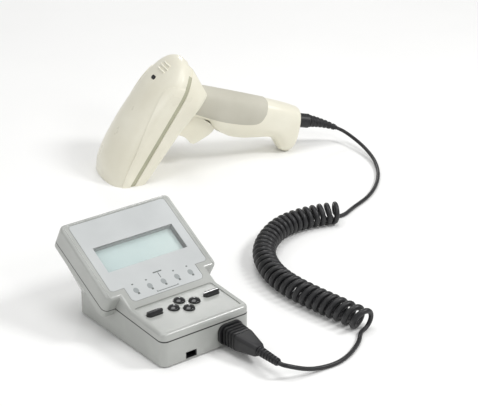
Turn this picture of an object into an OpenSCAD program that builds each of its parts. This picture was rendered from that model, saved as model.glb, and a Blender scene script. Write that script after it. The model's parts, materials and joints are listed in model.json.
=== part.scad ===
// Desktop barcode verifier: a console with a tilted display section, a cabled hand
// scanner standing on its nose and heel, and the curly cord between them.
// Millimetres, +Z up, +Y towards the back. The origin lies on the surface that both
// units stand on, midway between them.

/* [Console case] */
// Width of the base and the key deck
base_w = 86; // [84:1:94]
// Depth of the base, front wall to back wall
base_len = 121; // [118:1:128]
// Radius of the base's upright corners
base_corner_r = 6; // [4:0.5:8]
// Height of the key deck at its front edge
deck_front_h = 29.7; // [28:0.1:33]
// Rise of the key deck from its front edge to the neck
deck_rise = 2.9; // [2:0.1:4]
// Depth of the key deck, front edge to neck
deck_len = 45; // [44:0.5:50]
// Slope length of the neck between the deck and the display section
neck_len = 14.8; // [12:0.1:18]
// Height of the parting line at the front wall
seam_front_h = 23.1; // [21:0.1:24.5]
// Width of the parting line between the two case halves
seam_gap = 0.3; // [0.1:0.05:0.3]
// Wall of the case halves
wall = 2.4; // [2:0.1:3]
// Rounding of the case's upper edges
edge_r = 3; // [2:0.25:4]
// Height at which the back wall starts to lean out
lean_h = 21.1; // [20:0.1:26]

/* [Display section] */
// Width of the display section across its ears
disp_w = 108; // [106:1:116]
// Length of the display section along its slope
disp_len = 81.5; // [80:0.5:88]
// Thickness of the display section, square to its face
disp_t = 24.2; // [23:0.2:28]
// Tilt of the display face from level
tilt = 29.1; // [24:0.1:34]
// Corner radius of the display section
disp_corner_r = 5; // [4:0.5:8]
// Depth of the parting line below the display face at the ears
seam_front_w = 15.5; // [14.8:0.1:17]
// Depth of the parting line below the display face at the top end
seam_back_w = 17.8; // [17:0.1:19]

/* [Face label] */
// Distance from the display section's side to the face label
label_in = 6.5; // [5.5:0.5:8]
// Distance from the ears' front edge to the label's wide part
label_start = 6.8; // [5:0.2:9]
// Distance from the ears' front edge to the label's top edge
label_end = 77.4; // [74:0.2:78]
// Distance from the base's side to the label's tongue
tongue_in = 8; // [6:0.5:10]
// Reach of the tongue down the neck
tongue_reach = 8; // [6:0.5:9]
// Thickness of the label, which lies flush in its recess
label_t = 0.5; // [0.3:0.1:0.7]
// Width of the display window
window_w = 78; // [74:1:82]
// Height of the display window along the slope
window_h = 26; // [24:0.5:28]
// Distance from the ears' front edge to the middle of the window
window_u = 37.8; // [36:0.2:40]
// Depth of the window's collar below the label
collar_depth = 5; // [4:0.2:6]

/* [Keys] */
// Distance from the base's side to the middle of each bar key
bar_in = 15.2; // [14:0.1:16]
// Distance of the bar keys from the deck's front edge
bar_y = 31.8; // [30:0.1:33]
// Length of a bar key as a share of the base's width
bar_share = 0.17; // [0.15:0.005:0.18]
// Width of a bar key
bar_wid = 5.6; // [4.5:0.1:6.5]
// Diameter of a round key
round_d = 9.4; // [8:0.1:10]
// Sideways distance to the outer round keys as a share of the base's width
round_share = 0.1186; // [0.112:0.001:0.128]
// Distance of the round keys' middle from the deck's front edge
round_y = 30.6; // [30:0.1:32]
// Distance from that middle to the front and back round keys
round_dy = 6.8; // [6.4:0.1:7.2]
// Height of a key's crown above the deck rim
key_proud = 2; // [1:0.1:3]
// Travel of a key
key_travel = 0.7; // [0.5:0.05:0.8]
// Clearance round a key in its hole
key_gap = 0.3; // [0.25:0.05:0.4]

/* [Battery bay] */
// Diameter of a battery cell
cell_d = 14.2; // [13.5:0.1:14.5]
// Length of a battery cell body
cell_len = 49; // [47:0.5:50]
// Thickness of the battery door
door_t = 2; // [1.6:0.1:2.2]
// Running clearance round the battery door
door_gap = 0.3; // [0.25:0.05:0.4]

/* [Scanner head] */
// Slope of the head's axis above level as the scanner stands
head_angle = 53; // [48:0.5:58]
// Half width of the head at the nose
head_half_w = 38.5; // [36:0.5:41]
// Height of the head's shoulder line above its underside
shoulder_b = 28.5; // [27:0.25:30]
// Length of the head from its axis zero to the rear end
head_len = 121; // [118:0.5:124]
// Wall of the scanner shells
shell_wall = 2.4; // [2:0.1:3]
// Depth of the groove between the two head shells
groove_depth = 1.8; // [1:0.1:2.2]
// Width of that groove
groove_w = 4.2; // [3:0.1:5]

/* [Scanner handle] */
// Fall of the handle's axis below level
handle_fall = 18.8; // [17:0.2:20]
// Half width of the handle
handle_half_w = 15.5; // [14:0.25:17]
// Length of the handle from the head's rear corner to the butt
handle_len = 120; // [118:0.5:121]
// How far the rubber grip stands proud of the handle
grip_proud = 0.6; // [0.4:0.1:1]

/* [Trigger] */
// Width of the trigger
trigger_w = 17; // [14:0.5:19]
// Radius of the trigger's pin
trigger_pin_r = 1.5; // [1.2:0.05:1.8]
// Radial running clearance of the trigger on its pin
trigger_fit = 0.06; // [0.03:0.01:0.1]
// Clearance round the trigger in its pocket
trigger_gap = 0.5; // [0.4:0.05:0.7]

/* [Plug and cord] */
// Distance from the base's side to the cord socket's middle
plug_in = 21; // [19:0.5:23]
// Height of the cord socket's axis
plug_z = 12.4; // [11:0.1:13]
// Width of the plug at its flange
plug_w = 23.5; // [22:0.5:25]
// Height of the plug at its flange
plug_h = 18; // [16:0.5:19]
// Length of the plug outside the console
plug_len = 39.5; // [36:0.5:42]
// Length of the plug's strain relief
relief_len = 23.5; // [22:0.5:26]
// Length of the handle's strain relief
tail_len = 47; // [44:0.5:50]
// Diameter of the cord
cord_d = 3.6; // [3.3:0.1:3.9]
// Outer diameter of the curly cord
coil_od = 21; // [19.5:0.5:22]
// Whole turns in the curly cord
coil_turns = 35; // [28:1:40]

/* [Hidden] */
$fn = 48;
eps = 0.02;

// Places of the two units on the surface
console_at = [-139, -192];
scanner_at = [24, 147];
scanner_turn = -17;

// Colours
case_grey = [0.70, 0.71, 0.69];
label_grey = [0.80, 0.81, 0.81];
scanner_cream = [0.88, 0.87, 0.80];
rubber_grey = [0.76, 0.75, 0.71];
key_black = [0.06, 0.06, 0.07];
cord_black = [0.15, 0.15, 0.16];
board_green = [0.10, 0.36, 0.20];
steel = [0.75, 0.75, 0.76];

// Sideways places that follow the case's widths
label_w = disp_w - 2 * label_in;
tongue_w = base_w - 2 * tongue_in;
bar_x = base_w / 2 - bar_in;
bar_len = base_w * bar_share;
round_dx = base_w * round_share;
plug_x = base_w / 2 - plug_in;

// Console heights and planes
foot_h = 1.2;
foot_sink = 0.5;
floor_top = foot_h + wall;
deck_back_h = deck_front_h + deck_rise;
deck_slope = atan(deck_rise / deck_len);
disp_y = deck_len + neck_len * cos(tilt);
disp_z = deck_back_h + neck_len * sin(tilt);
// Side-view place of a point u along the display's slope and w above its face
function disp_yz(u, w) =
  [disp_y + u * cos(tilt) - w * sin(tilt), disp_z + u * sin(tilt) + w * cos(tilt)];

module in_console() translate([console_at.x, console_at.y, 0]) children();
module in_display() in_console() translate([0, disp_y, disp_z]) rotate([tilt, 0, 0]) children();
module in_deck() in_console() translate([0, 0, deck_front_h]) rotate([deck_slope, 0, 0]) children();
module in_scanner() translate([scanner_at.x, scanner_at.y, 0]) rotate([0, 0, scanner_turn]) children();

// A rectangle with rounded corners, centred across X and starting at Y = 0
module rounded_plate(w, l, r) {
  translate([-w / 2, 0])
    union() {
      translate([r, 0]) square([w - 2 * r, l]);
      translate([0, r]) square([w, l - 2 * r]);
      for (x = [r, w - r], y = [r, l - r]) translate([x, y]) circle(r, $fn = 32);
    }
}

// Skin over a row of rings with the same number of points, listed anticlockwise as seen from
// the far end. A ring that goes out and back, round a wall, is closed by strips.
function flat(list) = [for (row = list) for (item = row) item];
function end_cap(n, wall_ring) = wall_ring
  ? [for (k = [0 : n / 2 - 2]) [k, k + 1, n - 2 - k, n - 1 - k]] : [[for (k = [0 : n - 1]) k]];
function turned(face, shift) = [for (k = [len(face) - 1 : -1 : 0]) face[k] + shift];
function loft_faces(rings, n, wall_ring) = concat(
  end_cap(n, wall_ring),
  [for (face = end_cap(n, wall_ring)) turned(face, (rings - 1) * n)],
  [for (i = [0 : rings - 2], k = [0 : n - 1], half = [0, 1])
    let (a = i * n + k, b = i * n + (k + 1) % n)
    half == 0 ? [a, b + n, b] : [a, a + n, b + n]]);
module loft(rings, wall_ring = false)
  polyhedron(points = flat(rings), faces = loft_faces(len(rings), len(rings[0]), wall_ring));

// Ring of points round a rectangle with rounded corners, centred across X
corner_steps = 4;
function rounded_ring(w, y0, l, r, z) = [
  for (c = [[1, 1, 0], [-1, 1, 90], [-1, -1, 180], [1, -1, 270]], i = [0 : corner_steps])
    let (t = c.z + 90 * i / corner_steps)
    [c.x * (w / 2 - r) + r * cos(t), y0 + (c.y > 0 ? l - r : r) + r * sin(t), z]];

// Rings that round the upper edge of a block whose top lies at z = 0
edge_steps = 4;
function edge_rings(w, y0, l, corner, edge) = [
  for (i = [0 : edge_steps])
    let (turn = 90 * i / edge_steps, inset = edge * (1 - cos(turn)))
    rounded_ring(w - 2 * inset, y0 + inset, l - 2 * inset, max(corner - inset, 0.6), edge * (sin(turn) - 1))];

// Side-view outline extruded across the console
module across(w) rotate([90, 0, 90]) translate([0, 0, -w / 2]) linear_extrude(w) children();

// Everything below the parting line, dropped by a distance
module below_seam(drop) {
  reach = 30;
  front = [0, seam_front_h - drop];
  bend = disp_yz(0, -seam_front_w) - [0, drop];
  back = disp_yz(disp_len, -seam_back_w) - [0, drop];
  slope_front = (bend.y - front.y) / bend.x;
  slope_back = (back.y - bend.y) / (back.x - bend.x);
  in_console() across(disp_w + reach)
    polygon([
      [-reach, -reach], [-reach, front.y - reach * slope_front], bend,
      [back.x + reach, back.y + reach * slope_back], [back.x + reach, -reach]]);
}

low_edge = 1.2;
module display_block() in_display() loft(concat(
  [for (inset = [low_edge, 0]) rounded_ring(disp_w - 2 * inset, inset, disp_len - 2 * inset,
    disp_corner_r - inset, low_edge - inset - disp_t)],
  edge_rings(disp_w, 0, disp_len, disp_corner_r, edge_r)));

neck_dive = 9;
module neck_block() in_display() loft(concat(
  [rounded_ring(base_w, -neck_len, neck_len + neck_dive, edge_r, -neck_len)],
  edge_rings(base_w, -neck_len - neck_dive, neck_len + 2 * neck_dive, edge_r, edge_r)));

// Points given in the deck's tilted frame, moved into the console's frame
function from_deck(ring) = [for (p = ring) [p.x, p.y * cos(deck_slope) - p.z * sin(deck_slope),
  deck_front_h + p.y * sin(deck_slope) + p.z * cos(deck_slope)]];
module deck_block() in_console() loft(concat(
  [rounded_ring(base_w, 0, disp_y + edge_r, base_corner_r, seam_front_h - 3)],
  [for (ring = edge_rings(base_w, 0, disp_y, base_corner_r, edge_r)) from_deck(ring)]));

module base_block() {
  in_console() translate([0, 0, foot_h]) linear_extrude(disp_z - foot_h)
    rounded_plate(base_w, base_len, base_corner_r);
}

// The back of the base widening up into the display section
function from_display(ring) = [for (p = ring) let (q = disp_yz(p.y, p.z)) [p.x, q.x, q.y]];
module lean_block() {
  start_y = base_len * 0.62;
  start_u = disp_len * 0.25;
  in_console() loft([
    rounded_ring(base_w - 0.1, start_y, base_len - start_y - 0.05, base_corner_r, lean_h),
    from_display(rounded_ring(disp_w - 0.1, start_u, disp_len - start_u - 0.05, disp_corner_r, 3 - disp_t))]);
}

// Room inside the display section
disp_room_w = disp_w - 2 * wall;
module display_room() {
  in_display() translate([-disp_room_w / 2, wall, -disp_t + wall])
    cube([disp_room_w, disp_len - 2 * wall, disp_t - 2 * wall]);
}

// Room inside the base, up to the deck and the neck; it laps into the display section's room
room_lap = 1;
module base_room() {
  under_neck = disp_yz(-neck_len + 1, -wall);
  neck_top = disp_yz(wall + room_lap, -wall - 0.3 * room_lap);
  back_low = disp_yz(disp_len - wall - 1, -disp_t + wall);
  back_high = disp_yz(disp_len - wall - 1, -disp_t / 2);
  mid_high = disp_yz(wall + room_lap, -disp_t / 2);
  in_console() across(base_w - 2 * wall)
    polygon([
      [wall, floor_top], [base_len - wall, floor_top], [base_len - wall, lean_h],
      back_low, back_high, mid_high, neck_top, under_neck,
      [wall, deck_front_h - deck_wall]]);
}

// Key deck levels, measured down from the deck's rim
field_sink = 0.8;
deck_wall = field_sink + 2;
flange_t = 0.8;
flange_top = deck_wall + key_gap;
flange_low = flange_top + flange_t;
mat_top = flange_low + key_travel + key_gap;
mat_t = 1;
board_t = 1.6;
board_top = mat_top + mat_t;
pad_w = base_w - 2 * wall - 7;
pad_y = round_y - round_dy - round_d / 2 - 2;
pad_len = 2 * (round_dy + round_d / 2) + 4;
post_r = 2.2;
post_x = pad_w / 2 - 3.2;
post_y = [pad_y + 3.4, pad_y + pad_len - 3.2];
round_places = [[0, -round_dy], [0, round_dy], [-round_dx, 0], [round_dx, 0]];

module bar_outline(grow) {
  r = bar_wid / 2 + grow;
  straight = bar_len - bar_wid;
  translate([-straight / 2, -r]) square([straight, 2 * r]);
  for (x = [-straight / 2, straight / 2]) translate([x, 0]) circle(r);
}

// Label levels, measured along and below the display face
module label_outline(grow) {
  corner = 3;
  translate([0, label_start - grow])
    rounded_plate(label_w + 2 * grow, label_end - label_start + 2 * grow, corner + grow);
  translate([0, -tongue_reach - grow])
    rounded_plate(tongue_w + 2 * grow, label_start + tongue_reach + 2 * corner, corner + 1 + grow);
}

led_count = 5;
led_pitch = 13.4;
led_u = 1.2;
led_r = 1.5;
led_places = [for (i = [0 : led_count - 1]) (i - (led_count - 1) / 2) * led_pitch];
led_len = 7;
led_board_top = label_t + led_len;
led_post_x = led_places[led_count - 1] + 5.2;

frame_w = disp_w - 11;
frame_h = 40;
frame_t = 7.6;
lcd_board_w = disp_w - 10;
lcd_board_h = 60;
lcd_board_top = collar_depth + frame_t;
lcd_post_r = 2.6;
lcd_post_x = lcd_board_w / 2 - 3;
lcd_post_u = [window_u - lcd_board_h / 2 + 3, window_u + lcd_board_h / 2 - 3];
collar_t = 1.6;
pane_t = 0.8;
pane_lip = 1.5;

// Case screws: two up from the base floor, two up from the display section's floor
screw_r = 1.5;
screw_play = 0.06;
screw_head_r = 2.8;
screw_head_t = 1.8;
boss_r = 3.6;
front_screw = [base_w / 2 - wall - boss_r - 0.5, wall + boss_r + 5];
boss_meet_z = seam_front_h - 4;
back_screw = [disp_w / 2 - wall - boss_r - 1.5, disp_len - wall - boss_r - 1.5];
boss_meet_w = -seam_front_w - 1.4;

module front_screw_axes() {
  for (side = [-1, 1]) in_console() translate([side * front_screw.x, front_screw.y, 0]) children();
}

module back_screw_axes() {
  for (side = [-1, 1]) in_display() translate([side * back_screw.x, back_screw.y, 0]) children();
}

module upper_housing() color(case_grey) difference() {
  union() {
    difference() {
      union() {
        display_block();
        neck_block();
        deck_block();
      }
      below_seam(0);
      display_room();
      base_room();
    }
    // Posts and collar that hang from the inside of the shell
    in_deck() for (x = [-post_x, post_x], y = post_y)
      translate([x, y, -board_top]) cylinder(r = post_r, h = board_top - field_sink - 0.5);
    in_display() for (x = [-lcd_post_x, lcd_post_x], u = lcd_post_u)
      translate([x, u, -lcd_board_top]) cylinder(r = lcd_post_r, h = lcd_board_top - 1);
    in_display() for (x = [-led_post_x, led_post_x])
      translate([x, led_u, -led_board_top]) cylinder(r = 2, h = led_board_top - 1);
    in_display() translate([-window_w / 2 - collar_t, window_u - window_h / 2 - collar_t, -collar_depth])
      cube([window_w + 2 * collar_t, window_h + 2 * collar_t, collar_depth - 1]);
    front_screw_axes() translate([0, 0, boss_meet_z + seam_gap])
      cylinder(r = boss_r - 0.4, h = deck_front_h - field_sink - 1 - boss_meet_z);
    back_screw_axes() translate([0, 0, boss_meet_w + seam_gap])
      cylinder(r = boss_r - 0.4, h = -boss_meet_w - 1);
  }
  // Window, label recess, indicator holes
  in_display() translate([-window_w / 2, window_u - window_h / 2, -disp_t])
    cube([window_w, window_h, 2 * disp_t]);
  in_display() translate([0, 0, -label_t]) linear_extrude(disp_t) label_outline(seam_gap);
  in_display() translate([-window_w / 2 - pane_lip, window_u - window_h / 2 - pane_lip, -label_t - pane_t])
    cube([window_w + 2 * pane_lip, window_h + 2 * pane_lip, pane_t + eps]);
  for (x = led_places) in_display() translate([x, led_u, -disp_t / 2])
    cylinder(r = led_r + 0.15, h = disp_t);
  // Sunk key field and key holes
  in_deck() translate([0, 5, -field_sink]) linear_extrude(disp_t)
    rounded_plate(base_w - 10, deck_len - 5 + 1, 2);
  for (side = [-1, 1]) in_deck() translate([side * bar_x, bar_y, -deck_wall - 1])
    linear_extrude(disp_t) bar_outline(key_gap);
  for (p = round_places) in_deck() translate([p.x, round_y + p.y, -deck_wall - 1])
    cylinder(d = round_d + 2 * key_gap, h = disp_t);
  // Pilot holes
  in_deck() for (x = [-post_x, post_x], y = post_y)
    translate([x, y, -board_top - 1]) cylinder(r = 0.8 + screw_play, h = 3.6);
  in_display() for (x = [-lcd_post_x, lcd_post_x], u = lcd_post_u)
    translate([x, u, -lcd_board_top - 1]) cylinder(r = 1 + screw_play, h = 7);
  front_screw_axes() cylinder(r = screw_r + screw_play, h = boss_meet_z + 6);
  back_screw_axes() translate([0, 0, -disp_t])
    cylinder(r = screw_r + screw_play, h = disp_t + boss_meet_w + 7);
}

// Battery bay under the floor
bay_clear = 0.4;
contact_t = 3;
cell_count = 4;
bay_w = cell_len + 2 * contact_t + 2 * bay_clear;
bay_len = cell_count * (cell_d + bay_clear) + bay_clear;
bay_y = base_len - wall - 2 - bay_len;
bay_wall = 1.6;
door_top = foot_h + door_t;
bay_top = door_top + door_gap + cell_d + bay_clear;
door_w = bay_w + 4;
door_y = bay_y - 2;
tongue_t = 0.8;
tongue_out = 1.4;
tongue_low = foot_h + door_t / 2 - tongue_t / 2;
cell_y = [for (i = [0 : cell_count - 1]) bay_y + bay_clear + cell_d / 2 + i * (cell_d + bay_clear)];

jack_x = -15.5;
jack_w = 10.6;
jack_h = 6;
jack_len = 11;
jack_z = foot_h + 0.7;
jack_room = [8.8, 4.6, 9.4];

socket_w = 20;
socket_h = 14;
socket_len = 12;
nose_w = 15.6;
nose_h = 9;
nose_len = 8;
nose_gap = 0.2;
socket_bottom = plug_z - socket_h / 2;

main_board_x = [12 - base_w / 2, plug_x - socket_w / 2 - 4];
main_board_y = [5, door_y - 3];
main_board_z = jack_z + jack_h + 0.1;
main_post_r = 2.6;

// The back feet fill the strips beside the battery door
foot_edge = 0.85;
foot_r = (base_w - door_w) / 4 - tongue_out / 2 - foot_edge;
foot_x = base_w / 2 - foot_r - 1.4;
foot_places = [[2.6 - foot_x, 26], [foot_x - 2.6, 26], [-foot_x, base_len - 8], [foot_x, base_len - 8]];

module lower_housing() color(case_grey) difference() {
  union() {
    difference() {
      intersection() {
        union() {
          display_block();
          lean_block();
          base_block();
        }
        below_seam(seam_gap);
      }
      display_room();
      base_room();
    }
    // Bay box, posts and screw bosses
    in_console() translate([-bay_w / 2 - bay_wall, bay_y - bay_wall, foot_h + 0.5])
      cube([bay_w + 2 * bay_wall, base_len - wall / 2 - bay_y + bay_wall, bay_top + bay_wall - foot_h - 0.5]);
    in_console() for (x = main_board_x + [4, -4], y = main_board_y + [4, -4])
      translate([x, y, foot_h + 1]) cylinder(r = main_post_r, h = main_board_z - foot_h - 1);
    in_console() translate([plug_x - socket_w / 2, wall / 2, foot_h + 1])
      cube([socket_w, socket_len - 1, socket_bottom - foot_h - 1]);
    front_screw_axes() translate([0, 0, foot_h]) cylinder(r = boss_r, h = boss_meet_z - foot_h);
    back_screw_axes() translate([0, 0, -disp_t + 1]) cylinder(r = boss_r, h = disp_t - 1 + boss_meet_w);
  }
  // Bay, door opening and door grooves
  in_console() translate([-bay_w / 2, bay_y, 0]) cube([bay_w, bay_len, bay_top]);
  in_console() translate([-door_w / 2 - door_gap, door_y - door_gap, 0])
    cube([door_w + 2 * door_gap, base_len, door_top + door_gap]);
  in_console() translate([-door_w / 2 - tongue_out - door_gap, door_y + 2, tongue_low - door_gap])
    cube([door_w + 2 * tongue_out + 2 * door_gap, base_len, tongue_t + 2 * door_gap]);
  // Front openings
  in_console() translate([plug_x - nose_w / 2 - 2, -1, plug_z - nose_h / 2 - 2])
    cube([nose_w + 4, wall + 1.5, nose_h + 4]);
  in_console() translate([jack_x - jack_w / 2, -1, jack_z]) cube([jack_w, jack_len + 2, jack_h]);
  // Feet seats and screw holes
  in_console() for (p = foot_places) translate([p.x, p.y, 0])
    cylinder(r = foot_r + 0.1, h = foot_h + foot_sink);
  front_screw_axes() cylinder(r = screw_r + 0.2, h = boss_meet_z + 1);
  front_screw_axes() cylinder(r = screw_head_r + 0.2, h = foot_h + screw_head_t + 0.6);
  back_screw_axes() translate([0, 0, -disp_t - 1]) cylinder(r = screw_r + 0.2, h = disp_t);
  back_screw_axes() translate([0, 0, -disp_t - 1]) cylinder(r = screw_head_r + 0.2, h = screw_head_t + 1.6);
}

module face_label() color(label_grey) difference() {
  in_display() translate([0, 0, -label_t]) linear_extrude(label_t) label_outline(0);
  in_display() translate([-window_w / 2, window_u - window_h / 2, -1]) cube([window_w, window_h, 2]);
}

module window_pane() color([0.85, 0.9, 0.9, 0.35]) {
  pane = [window_w + 2 * pane_lip - 0.2, window_h + 2 * pane_lip - 0.2, pane_t];
  in_display() translate([-pane.x / 2, window_u - pane.y / 2, -label_t - pane_t]) cube(pane);
}

glass_t = 2.8;
glass_sink = 0.6;
frame_lip = 2;
glass = [frame_w - 2 * frame_lip, frame_h - 2 * frame_lip];
module lcd_panel() color([0.75, 0.83, 0.83]) {
  in_display() translate([-glass.x / 2, window_u - glass.y / 2, -collar_depth - glass_sink - glass_t])
    cube([glass.x, glass.y, glass_t]);
}

module lcd_frame() color(steel) difference() {
  in_display() translate([-frame_w / 2, window_u - frame_h / 2, -collar_depth - frame_t])
    cube([frame_w, frame_h, frame_t]);
  in_display() translate([-window_w / 2, window_u - window_h / 2, -collar_depth - 2])
    cube([window_w, window_h, 3]);
  in_display() translate([-glass.x / 2, window_u - glass.y / 2, -collar_depth - frame_t - 1])
    cube([glass.x, glass.y, frame_t + 1 - glass_sink]);
}

module lcd_board() color(board_green) difference() {
  in_display() translate([-lcd_board_w / 2, window_u - lcd_board_h / 2, -lcd_board_top - board_t])
    cube([lcd_board_w, lcd_board_h, board_t]);
  in_display() for (x = [-lcd_post_x, lcd_post_x], u = lcd_post_u)
    translate([x, u, -disp_t]) cylinder(r = 1.3, h = disp_t);
}

module pan_screw(r, len, head_r, head_t) {
  cylinder(r = r, h = len);
  translate([0, 0, -head_t]) cylinder(r = head_r, h = head_t);
}

module lcd_screws() color(steel) {
  in_display() for (x = [-lcd_post_x, lcd_post_x], u = lcd_post_u)
    translate([x, u, -lcd_board_top - board_t]) pan_screw(1, 6, 2, 1.2);
}

module indicator_leds() color([0.8, 0.82, 0.8]) {
  for (x = led_places) in_display() translate([x, led_u, -label_t - led_len]) {
    cylinder(r = led_r, h = led_len - led_r);
    translate([0, 0, led_len - led_r]) sphere(led_r);
  }
}

module led_board() color(board_green) {
  in_display() translate([-led_post_x - 2.5, led_u - 3.5, -led_board_top - board_t])
    cube([2 * led_post_x + 5, 7, board_t]);
}

// A bar key with a crowned top and a flange that holds it under the deck
module bar_key(side) {
  crown_r = 9;
  in_deck() translate([side * bar_x, bar_y, 0]) {
    intersection() {
      translate([0, 0, -flange_low]) linear_extrude(flange_low + key_proud) bar_outline(0);
      translate([0, 0, key_proud - crown_r]) rotate([0, 90, 0])
        cylinder(r = crown_r, h = bar_len * 2, center = true, $fn = 96);
    }
    translate([0, 0, -flange_low]) linear_extrude(flange_t) bar_outline(1);
  }
}

// A round domed key with the same flange
module round_key(place) {
  r = round_d / 2;
  crown_h = 1.6;
  crown_r = (r * r + crown_h * crown_h) / (2 * crown_h);
  in_deck() translate([place.x, round_y + place.y, 0]) {
    intersection() {
      translate([0, 0, -flange_low]) cylinder(r = r, h = flange_low + key_proud);
      translate([0, 0, key_proud - crown_r]) sphere(crown_r, $fn = 64);
    }
    translate([0, 0, -flange_low]) cylinder(r = r + 0.8, h = flange_t);
  }
}

module key_left_bar() color(key_black) bar_key(-1);
module key_right_bar() color(key_black) bar_key(1);
module key_front() color(key_black) round_key(round_places[0]);
module key_back() color(key_black) round_key(round_places[1]);
module key_left() color(key_black) round_key(round_places[2]);
module key_right() color(key_black) round_key(round_places[3]);

module keypad_mat() color([0.35, 0.35, 0.36]) difference() {
  in_deck() translate([0, pad_y, -board_top]) linear_extrude(mat_t) rounded_plate(pad_w, pad_len, 2);
  in_deck() for (x = [-post_x, post_x], y = post_y)
    translate([x, y, -board_top - 1]) cylinder(r = post_r + 0.2, h = 3);
}

module keypad_board() color(board_green) difference() {
  in_deck() translate([0, pad_y, -board_top - board_t]) linear_extrude(board_t)
    rounded_plate(pad_w, pad_len, 2);
  in_deck() for (x = [-post_x, post_x], y = post_y)
    translate([x, y, -board_top - 3]) cylinder(r = 1, h = 4);
}

module keypad_screws() color(steel) {
  in_deck() for (x = [-post_x, post_x], y = post_y)
    translate([x, y, -board_top - board_t]) pan_screw(0.8, board_t + 2.2, 1.7, 1);
}

module main_board() color(board_green) in_console()
  translate([main_board_x[0], main_board_y[0], main_board_z])
    cube([main_board_x[1] - main_board_x[0], main_board_y[1] - main_board_y[0], board_t]);

beeper_r = 6;
module beeper() color(key_black) difference() {
  in_console() translate([main_board_x[0] + 13, main_board_y[0] + 26, main_board_z + board_t])
    cylinder(r = beeper_r, h = 5);
  in_console() translate([main_board_x[0] + 13, main_board_y[0] + 26, main_board_z + board_t + 3])
    cylinder(r = 1.2, h = 3);
}

module service_jack() color(key_black) difference() {
  in_console() translate([jack_x - jack_w / 2 + 0.1, 0.4, jack_z + 0.1])
    cube([jack_w - 0.2, jack_len, jack_h - 0.2]);
  in_console() translate([jack_x - jack_room.x / 2, -1, jack_z + (jack_h - jack_room.y) / 2])
    cube([jack_room.x, jack_room.z + 1, jack_room.y]);
}

module cord_socket() color(key_black) difference() {
  in_console() translate([plug_x - socket_w / 2, wall + 0.5 + eps, socket_bottom])
    cube([socket_w, socket_len - wall - 0.5, socket_h]);
  in_console() translate([plug_x - nose_w / 2 - nose_gap, 0, plug_z - nose_h / 2 - nose_gap])
    cube([nose_w + 2 * nose_gap, nose_len + nose_gap, nose_h + 2 * nose_gap]);
}

module battery_door() color(case_grey) difference() {
  union() {
    in_console() translate([-door_w / 2, door_y, foot_h]) cube([door_w, base_len - door_y, door_t]);
    in_console() translate([-door_w / 2 - tongue_out, door_y + 2 + door_gap, tongue_low])
      cube([door_w + 2 * tongue_out, base_len - door_y - 4 - door_gap, tongue_t]);
  }
  // Finger ridges
  for (i = [0 : 4]) in_console() translate([-11, base_len - 22 + i * 3, foot_h - 1]) cube([22, 1.4, 1.5]);
}

module battery_cells() color([0.72, 0.62, 0.25]) {
  nub = 1;
  for (i = [0 : cell_count - 1]) in_console()
    translate([0, cell_y[i], door_top + door_gap + cell_d / 2]) rotate([0, i % 2 == 0 ? 90 : -90, 0]) {
      translate([0, 0, -cell_len / 2]) cylinder(d = cell_d, h = cell_len);
      translate([0, 0, cell_len / 2 - eps]) cylinder(r = 2.7, h = nub + eps);
    }
}

// Sprung wire cones at one end of each cell and flat plates at the other
module battery_contacts() color(steel) {
  plate_t = 0.6;
  gap = 0.1;
  cone = contact_t + bay_clear - plate_t - gap;
  for (i = [0 : cell_count - 1], end = [-1, 1]) {
    sprung = (i % 2 == 0) == (end < 0);
    in_console() translate([end * (bay_w / 2 - plate_t / 2), cell_y[i], door_top + door_gap + cell_d / 2]) {
      cube([plate_t, 9, 10], center = true);
      if (sprung) rotate([0, -end * 90, 0]) translate([0, 0, plate_t / 2 - eps])
        cylinder(r1 = 3.4, r2 = 2.2, h = cone + eps);
      else rotate([0, -end * 90, 0]) translate([0, 0, plate_t / 2 - eps])
        cylinder(r = 2, h = cone - 1 + eps);
    }
  }
}

module rubber_feet() color(key_black) {
  in_console() for (p = foot_places) translate([p.x, p.y, 0]) {
    cylinder(r1 = foot_r - 0.5, r2 = foot_r, h = 0.5);
    translate([0, 0, 0.5 - eps]) cylinder(r = foot_r, h = foot_h + foot_sink - 0.5 + eps);
  }
}

module case_screws() color(steel) {
  front_screw_axes() translate([0, 0, foot_h + screw_head_t + 0.6])
    pan_screw(screw_r, boss_meet_z + 5 - foot_h - screw_head_t - 0.6, screw_head_r, screw_head_t);
  back_screw_axes() translate([0, 0, -disp_t + screw_head_t + 0.6])
    pan_screw(screw_r, disp_t + boss_meet_w + 5 - screw_head_t - 0.6, screw_head_r, screw_head_t);
}

// Head frame: X along the head's axis from the nose to the rear, Y across, Z out of the face
module in_head() in_scanner() rotate([0, -head_angle, 0]) children();

// Corner where the head's rear wall meets the top of the handle, in the head frame
rear_corner = [104, -4];
rear_corner_hz = [
  rear_corner.x * cos(head_angle) - rear_corner.y * sin(head_angle),
  rear_corner.x * sin(head_angle) + rear_corner.y * cos(head_angle)];

// Handle frame: X along the handle towards the butt, Y across, Z out of its back
module in_handle() in_scanner() translate([rear_corner_hz.x, 0, rear_corner_hz.y])
  rotate([0, handle_fall, 0]) children();

// Side-view outline in the head or handle frame, extruded across the scanner
module slab_across(w) rotate([90, 0, 0]) translate([0, 0, -w / 2]) linear_extrude(w) children();

// Head: height of the crown and of the shoulders, the groove between the two shells, and
// the underside, all along the head's axis
crown_line = [
  [-40, 20], [-34, 23], [-23, 30.7], [-18, 34.3], [-9, 39.8], [2, 42.6], [14, 44.4], [43, 46],
  [76, 44.5], [90, 42], [105, 38.5], [113, 36], [118, 33], [121, 29.5]];
shoulder_line = [[-40, 0.3], [-20, 0.5], [10, 0.77], [45, 0.95], [80, 1], [110, 1], [121, 0.96]];
groove_line = [[-60, -1.3], [130, 22]];
low_line = [[-40, 0], [60, 0], [rear_corner.x, rear_corner.y], [121, -5.5]];
head_round_start = 84;
floor_lean = -1 / tan(head_angle);
function head_w(a, inset) = let (w = head_half_w - inset, len = head_len - inset - head_round_start)
  a < head_round_start ? w : w * pow(max(1 - pow((a - head_round_start) / len, 2.2), 0.01), 0.5);

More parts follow.
